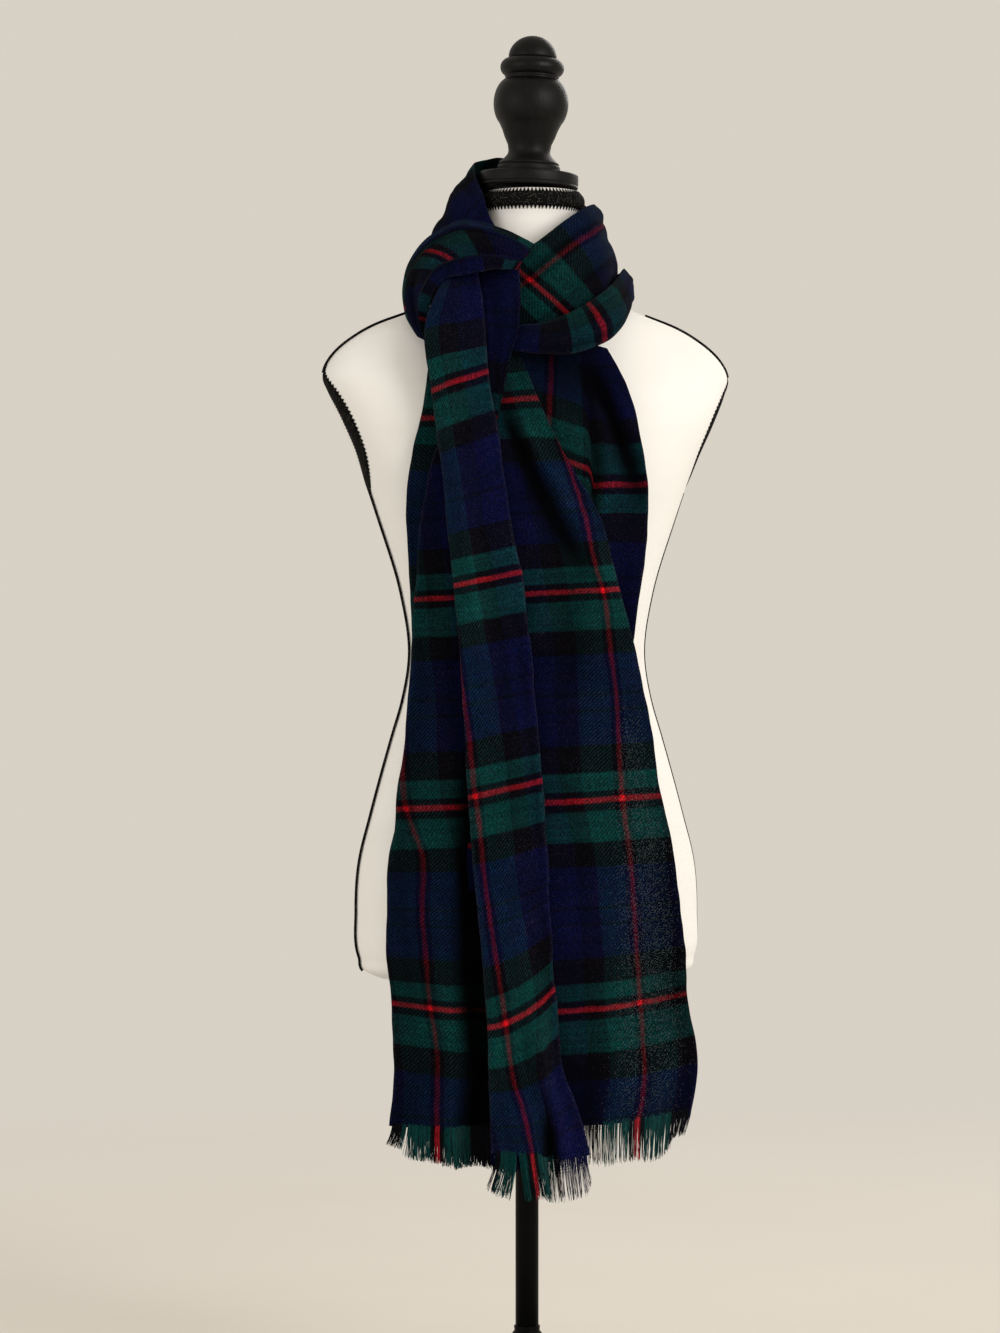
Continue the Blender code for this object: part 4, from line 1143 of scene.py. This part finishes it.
def rumple(across, along, seed, sizes):
    """Soft unevenness of the cloth: waves in many directions, of (wavelength, height) in millimetres."""
    chance = np.random.default_rng(seed)
    height = np.zeros(np.broadcast(across, along).shape)
    for wavelength, tall in sizes:
        for _ in range(6):
            angle, phase = chance.uniform(0, math.pi), chance.uniform(0, 2 * math.pi)
            stretch = chance.uniform(0.8, 1.25) * wavelength
            way = across * math.cos(angle) * 1.5 + along * math.sin(angle) * 0.6
            height += tall / math.sqrt(6) * np.sin(2 * math.pi * way / stretch + phase)
    return height


class Stretch:
    """One stretch of the scarf as a fine grid: points, their places in the tartan, and their shading."""

    def __init__(self, name, spec):
        self.name, self.spec = name, spec
        table = np.array(spec["rows"], float)
        self.along = np.linspace(table[0, 0], table[-1, 0], int((table[-1, 0] - table[0, 0]) / GRID_STEP) + 2)
        widest = np.linalg.norm(table[:, 4:7] - table[:, 1:4], axis=1).max()
        self.shares = np.linspace(0, 1, int(widest / GRID_STEP) + 2)
        columns = smooth(table[:, 0], table[:, 1:], self.along)
        edge_a, edge_b = columns[:, :3], columns[:, 3:6]
        crown, sag, warp_a, warp_b = columns[:, 6:].T[..., None]
        self.width = np.linalg.norm(edge_b - edge_a, axis=1)[:, None]
        across_way = (edge_b - edge_a) / self.width
        self.forward = unit(np.gradient((edge_a + edge_b) / 2, axis=0))
        self.outward = unit(np.cross(self.forward, across_way) * spec.get("outward", 1))

        across, out, warp = self.section(crown, warp_a, warp_b)
        along = self.along[:, None]
        hang = sag * (1 - (2 * across / self.width - 1) ** 2)
        out = out + rumple(warp, along, len(name) * 7 + len(table), RUMPLES_OUT)
        aside = across + rumple(warp, along, len(name) * 5 + 1, RUMPLES_ASIDE)
        self.points = edge_a[:, None] + sum(
            amount[..., None] * way[:, None]
            for amount, way in ((aside, across_way), (out, self.outward), (hang, self.forward))
        )
        if name.startswith("tail"):
            self.points = clear_of_form(self.points)

        weft = along + 0 * warp + spec.get("weft_shift", 0)
        weft -= read(spec.get("drop", 0.0), np.clip(across / self.width, 0, 1))
        places = [warp + spec.get("warp_shift", 0), weft * spec.get("weft_way", 1)]
        self.cloth_place = np.stack(places, axis=-1)
        near = np.minimum(np.abs(across), np.abs(across - self.width))
        # Painted sheen: the cloth paler near its edges, where fuzz catches the light.
        self.edge = np.exp(-((near / EDGE_SHEEN_WIDTH) ** 2))
        # Painted light: each stretch lighter or darker as a whole, for how much light falls on it.
        self.painted_shading = np.full_like(self.edge, spec.get("painted_shading", 1.0))
        # Painted shade in the folds' hollows and painted light on their ridges, with the painted shades of the tables.
        shade = FOLD_SHADE * self.folds("folds") + self.folds("shades")
        self.painted_shading[:, self.own] *= np.clip(1 + shade, DARKEST, LIGHTEST)
        if "hem" in spec:
            self.cut_hem(read(spec["hem"], across[-1] / self.width[-1]))

    def folds(self, kind):
        return fold_heights(self.spec[kind], self.shares, self.along)

    def section(self, crown, warp_a, warp_b):
        """Each point's place across, how far out it is, and the warp's place there."""
        spec, shares, width = self.spec, self.shares, self.width
        roll_a, roll_b = spec.get("roll_a", 0), spec.get("roll_b", 0)

        def lift(place_across):
            return crown * (1 - np.abs(2 * place_across / width - 1) ** CROWN_POWER)

        def under_edge(roll, flap):
            """What is rolled under an edge, from the edge inwards: distance from it, height, cloth used."""
            turn, flat = np.linspace(0, math.pi, 12)[1:], flap * np.linspace(0.15, 1, 6)
            distance = np.hstack([roll - roll * np.sin(turn), roll + flat])
            fall = np.hstack([roll - roll * np.cos(turn), np.full_like(flat, 2 * roll)])
            used = np.hstack([roll * turn, math.pi * roll + flat])
            crown_there = lift(np.hstack([np.full_like(turn, roll), roll + flat]))
            return distance + 0 * width, crown_there - fall, used + 0 * width

        across = roll_a + shares * (width - roll_a - roll_b)
        out = lift(across) + self.folds("folds")
        warp = warp_a + shares * (warp_b - warp_a)
        if "pleat" in spec:
            share, hidden, tall, begins, ends = spec["pleat"]
            grow = (ease((self.along - begins) / FADE_IN) * ease((ends - self.along) / FADE_IN))[:, None]
            jump = ease((shares - share) / PLEAT_STEP)
            warp = warp + hidden * grow * (jump - shares)
            out = out + tall * grow * jump * ease((PLEAT_END - shares) / PLEAT_FALL)
        self.own = slice(0, len(shares))
        if roll_a:
            distance, height, used = (grid[:, ::-1] for grid in under_edge(roll_a, spec["flap_a"]))
            across, out = np.hstack([distance, across]), np.hstack([height, out])
            warp = np.hstack([warp_a - used, warp])
            self.own = slice(distance.shape[1], across.shape[1])
        if roll_b:
            distance, height, used = under_edge(roll_b, spec["flap_b"])
            across, out = np.hstack([across, width - distance]), np.hstack([out, height])
            warp = np.hstack([warp, warp_b + used])
        return across, out, warp

    def cut_hem(self, shorter):
        """Ends each column of the grid this much earlier."""
        rows, columns = self.edge.shape
        at = np.arange(rows)[:, None] * (1 - shorter / (self.along[-1] - self.along[0]))
        before, column = np.minimum(at.astype(int), rows - 2), np.arange(columns)

        def squeezed(grid):
            part = at - before if grid.ndim == 2 else (at - before)[..., None]
            return grid[before, column] * (1 - part) + grid[before + 1, column] * part

        self.points, self.cloth_place = squeezed(self.points), squeezed(self.cloth_place)
        self.edge, self.painted_shading = squeezed(self.edge), squeezed(self.painted_shading)

    def specks(self):
        """The share of the small cells of the cloth that have a painted speck of light."""
        warp, weft = np.moveaxis(self.cloth_place, -1, 0)
        table = np.array(self.spec.get("specks", NO_SPECKS), float).T
        middle, half_width, share = (np.interp(weft, table[0], column) for column in table[1:])
        return share * np.exp(-(((warp - middle) / half_width) ** 4))

    def make(self, material):
        faces = grid_faces(*self.edge.shape)
        if self.spec.get("outward") == -1:
            faces = faces[:, ::-1]
        obj = add_mesh(self.name + "_wool", self.points, faces, material, self.cloth_place)
        for name, values in (("specks", self.specks()), ("edge", self.edge), ("painted_shading", self.painted_shading)):
            attribute = obj.data.attributes.new(name, "FLOAT", "POINT")
            attribute.data.foreach_set("value", values.astype(np.float32).ravel())
        shell = obj.modifiers.new("thickness", "SOLIDIFY")
        shell.thickness, shell.offset = CLOTH * MM, 0
        return stand_for(obj, "scarf_wool", self.name)


def tubes(lines, radius, side, front):
    """Thin three-sided tubes along lines, which are (tube, point, 3). radius is (tube, point)."""
    count, points = lines.shape[:2]
    turns = (np.array([0, 2, 4]) * math.pi / 3)[:, None]
    rings = lines[:, :, None] + radius[..., None, None] * (np.cos(turns) * side + np.sin(turns) * front)
    single = grid_faces(points, 3, closed_across=True)
    faces = (single[None] + (np.arange(count) * points * 3)[:, None, None]).reshape(-1, 4)
    return rings.reshape(-1, 3), faces


def make_fringe(name, stretch, spec, material, seed):
    """Loose warp yarns below the hem, in small clumps, and a few weft yarns that still cross them."""
    chance = np.random.default_rng(seed)
    hem, warp = stretch.points[-1, stretch.own], stretch.cloth_place[-1, stretch.own, 0]
    along_hem, outward, forward = unit(hem[-1] - hem[0]), stretch.outward[-1], stretch.forward[-1]
    down = unit(forward * 0.5 + np.array([0, 0, -1.0]))
    runs = run(hem)
    at = np.arange(0.5, runs[-1] / FRINGE_PITCH - 0.5)
    at = (at + chance.uniform(-YARN_ASIDE, YARN_ASIDE, len(at))) * FRINGE_PITCH
    for low, high in spec["gaps"]:
        at = at[(at < low * runs[-1]) | (at > high * runs[-1])]
    at = at[chance.uniform(0, 1, len(at)) < read(spec["dense"], at / runs[-1])]
    count, share = len(at), at / runs[-1]

    def on_hem(places):
        return np.stack([np.interp(places, runs, hem[:, k]) for k in range(3)], axis=-1)

    # Each clump leans its own way and draws its yarns together.
    starts = np.cumsum(chance.uniform(*CLUMP_WIDE, int(runs[-1])))
    clump = np.searchsorted(starts, at)
    middle = (np.concatenate([[0], starts])[clump] + starts[clump]) / 2 - at
    lean, out = (chance.normal(0, spread, len(starts))[clump] for spread in (CLUMP_LEAN, CLUMP_OUT))
    pull = chance.uniform(*CLUMP_PULL, len(starts))[clump]
    long = chance.uniform(*YARN_LONG, count) * (1 + 0.035 * np.sin(at / 8) + 0.03 * np.sin(at / 21 + 1))
    long *= spec["length"] * read(spec["lengths"], share)
    drift = (middle * pull + lean) * read(spec["loose"], share) + read(spec["slants"], share)
    drift, out = drift + chance.normal(0, YARN_LEAN, count), out + chance.normal(0, YARN_OUT, count)
    wobble = chance.uniform(0, 2 * math.pi, count)[:, None]
    t = np.linspace(0, 1, 7)
    lines = (
        on_hem(at)[:, None]
        + down * (long[:, None] * t)[..., None]
        + along_hem * (drift[:, None] * t**1.4 + 0.3 * np.sin(7 * t + wobble) * t)[..., None]
        + outward * (out[:, None] * t**1.3 + 0.3 * np.cos(5 * t + wobble) * t)[..., None]
    )
    # Their roots lie on both faces of the cloth, unevenly far up.
    face = chance.choice([-1, 1], count) * chance.uniform(*ROOT_OUT, count)
    lines += face[:, None, None] * outward * (1 - 0.5 * t)[:, None]
    lines[:, 0] -= forward * chance.uniform(*ROOT_UP, count)[:, None]
    thick = FRINGE_RADIUS * read(spec["thick"], share)
    points, faces = tubes(lines, thick[:, None] * (1 - 0.35 * t), along_hem, outward)
    size = len(t) * 3
    twist_at = np.tile(np.repeat(t, 3), count) * spec["length"] + np.repeat(at * 3.7, size)
    uv = np.stack([np.repeat(np.interp(at, runs, warp), size), twist_at], axis=1)
    for low, high, drop in spec["crossings"]:
        places = np.linspace(low, high, 40) * runs[-1]
        line = on_hem(places) + down * (drop + 0.5 * np.sin(places / 6) + 0.3 * np.sin(places / 2.3))[:, None]
        line += outward * (0.5 * np.sin(places / 3))[:, None]
        more, more_faces = tubes(line[None], np.full((1, len(places)), FRINGE_RADIUS), outward, forward)
        faces = np.vstack([faces, more_faces + len(points)])
        points = np.vstack([points, more])
        uv = np.vstack([uv, np.stack([np.full(len(more), CROSSING_WARP), np.repeat(places, 3)], axis=1)])
    return stand_for(add_mesh(name + "_yarn", points, faces, material, uv), "scarf_fringe", name)


def make_scarf():
    tartan, yarn = tartan_finish(), yarn_finish()
    stretches = {name: Stretch(name, spec) for name, spec in STRETCHES.items()}
    sheets = {name: stretch.make(tartan) for name, stretch in stretches.items()}
    fringes = {}
    for seed, (name, spec) in enumerate(FRINGES.items(), 5):
        fringes[spec["stretch"]] = [make_fringe(name, stretches[spec["stretch"]], spec, yarn, seed)]
    for name, obj in sheets.items():
        flat, going_with = STRETCHES[name]["flat"], fringes.get(name, [])
        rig.sheet(obj, flat=flat, held="draped", rests_on=["torso_jersey"], with_pieces=going_with)


# --- Studio ---


def add_light(name, place_at, target, size, watts, colour):
    data = bpy.data.lights.new(name, "AREA")
    data.shape, data.size, data.energy, data.color = "DISK", size, watts, colour
    obj = bpy.data.objects.new(name, data)
    bpy.context.scene.collection.objects.link(obj)
    way = np.array(target) - np.array(place_at)
    obj.location = place_at
    obj.rotation_euler = (math.atan2(math.hypot(way[0], way[1]), -way[2]), 0, math.atan2(-way[0], way[1]))


def make_floor():
    """A floor that runs out into the pale room around it, with no edge."""
    finish = Finish("pale_floor", 0.8, 0.2)
    vector = finish.place()
    shades = [(0.3, (0.70, 0.665, 0.61)), (0.7, (0.73, 0.695, 0.64))]
    finish.set("Base Color", finish.ramp(finish.noise(vector, 1.5, 3.0), shades))
    away = finish.math("DIVIDE", finish.vector("LENGTH", vector, out=1), FLOOR_REACH)
    finish.set("Alpha", finish.ramp(away, [(0.22, 1.0), (1.0, 0.0)]))
    corners = [(x * 12000, y * 12000, -0.5) for x, y in ((-1, -1), (1, -1), (1, 1), (-1, 1))]
    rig.stage(add_mesh("floor", corners, [(0, 1, 2, 3)], finish.material))


def make_studio():
    world = bpy.data.worlds.new("studio")
    bpy.context.scene.world = world
    world.use_nodes = True
    world.node_tree.nodes["Background"].inputs[0].default_value = (*WALL, 1)
    bpy.context.scene.view_settings.view_transform = "Standard"
    for light in LIGHTS:
        add_light(*light)
    make_floor()
    data = bpy.data.cameras.new("camera")
    data.sensor_width = 36
    data.lens = data.sensor_width / 2 / (PICTURE_HALF_HEIGHT / -CAMERA_PLACE[1])
    camera = bpy.data.objects.new("camera", data)
    bpy.context.scene.collection.objects.link(camera)
    camera.location = CAMERA_PLACE
    camera.rotation_euler = (math.pi / 2, 0, 0)
    bpy.context.scene.camera = camera


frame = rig.load()
cad_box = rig.bounds()
make_studio()
make_form()
make_scarf()
with open("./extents.json", "w") as report:
    boxes = {"cad": cad_box, "visual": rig.bounds()}
    json.dump({name: [list(corner) for corner in box] for name, box in boxes.items()}, report)
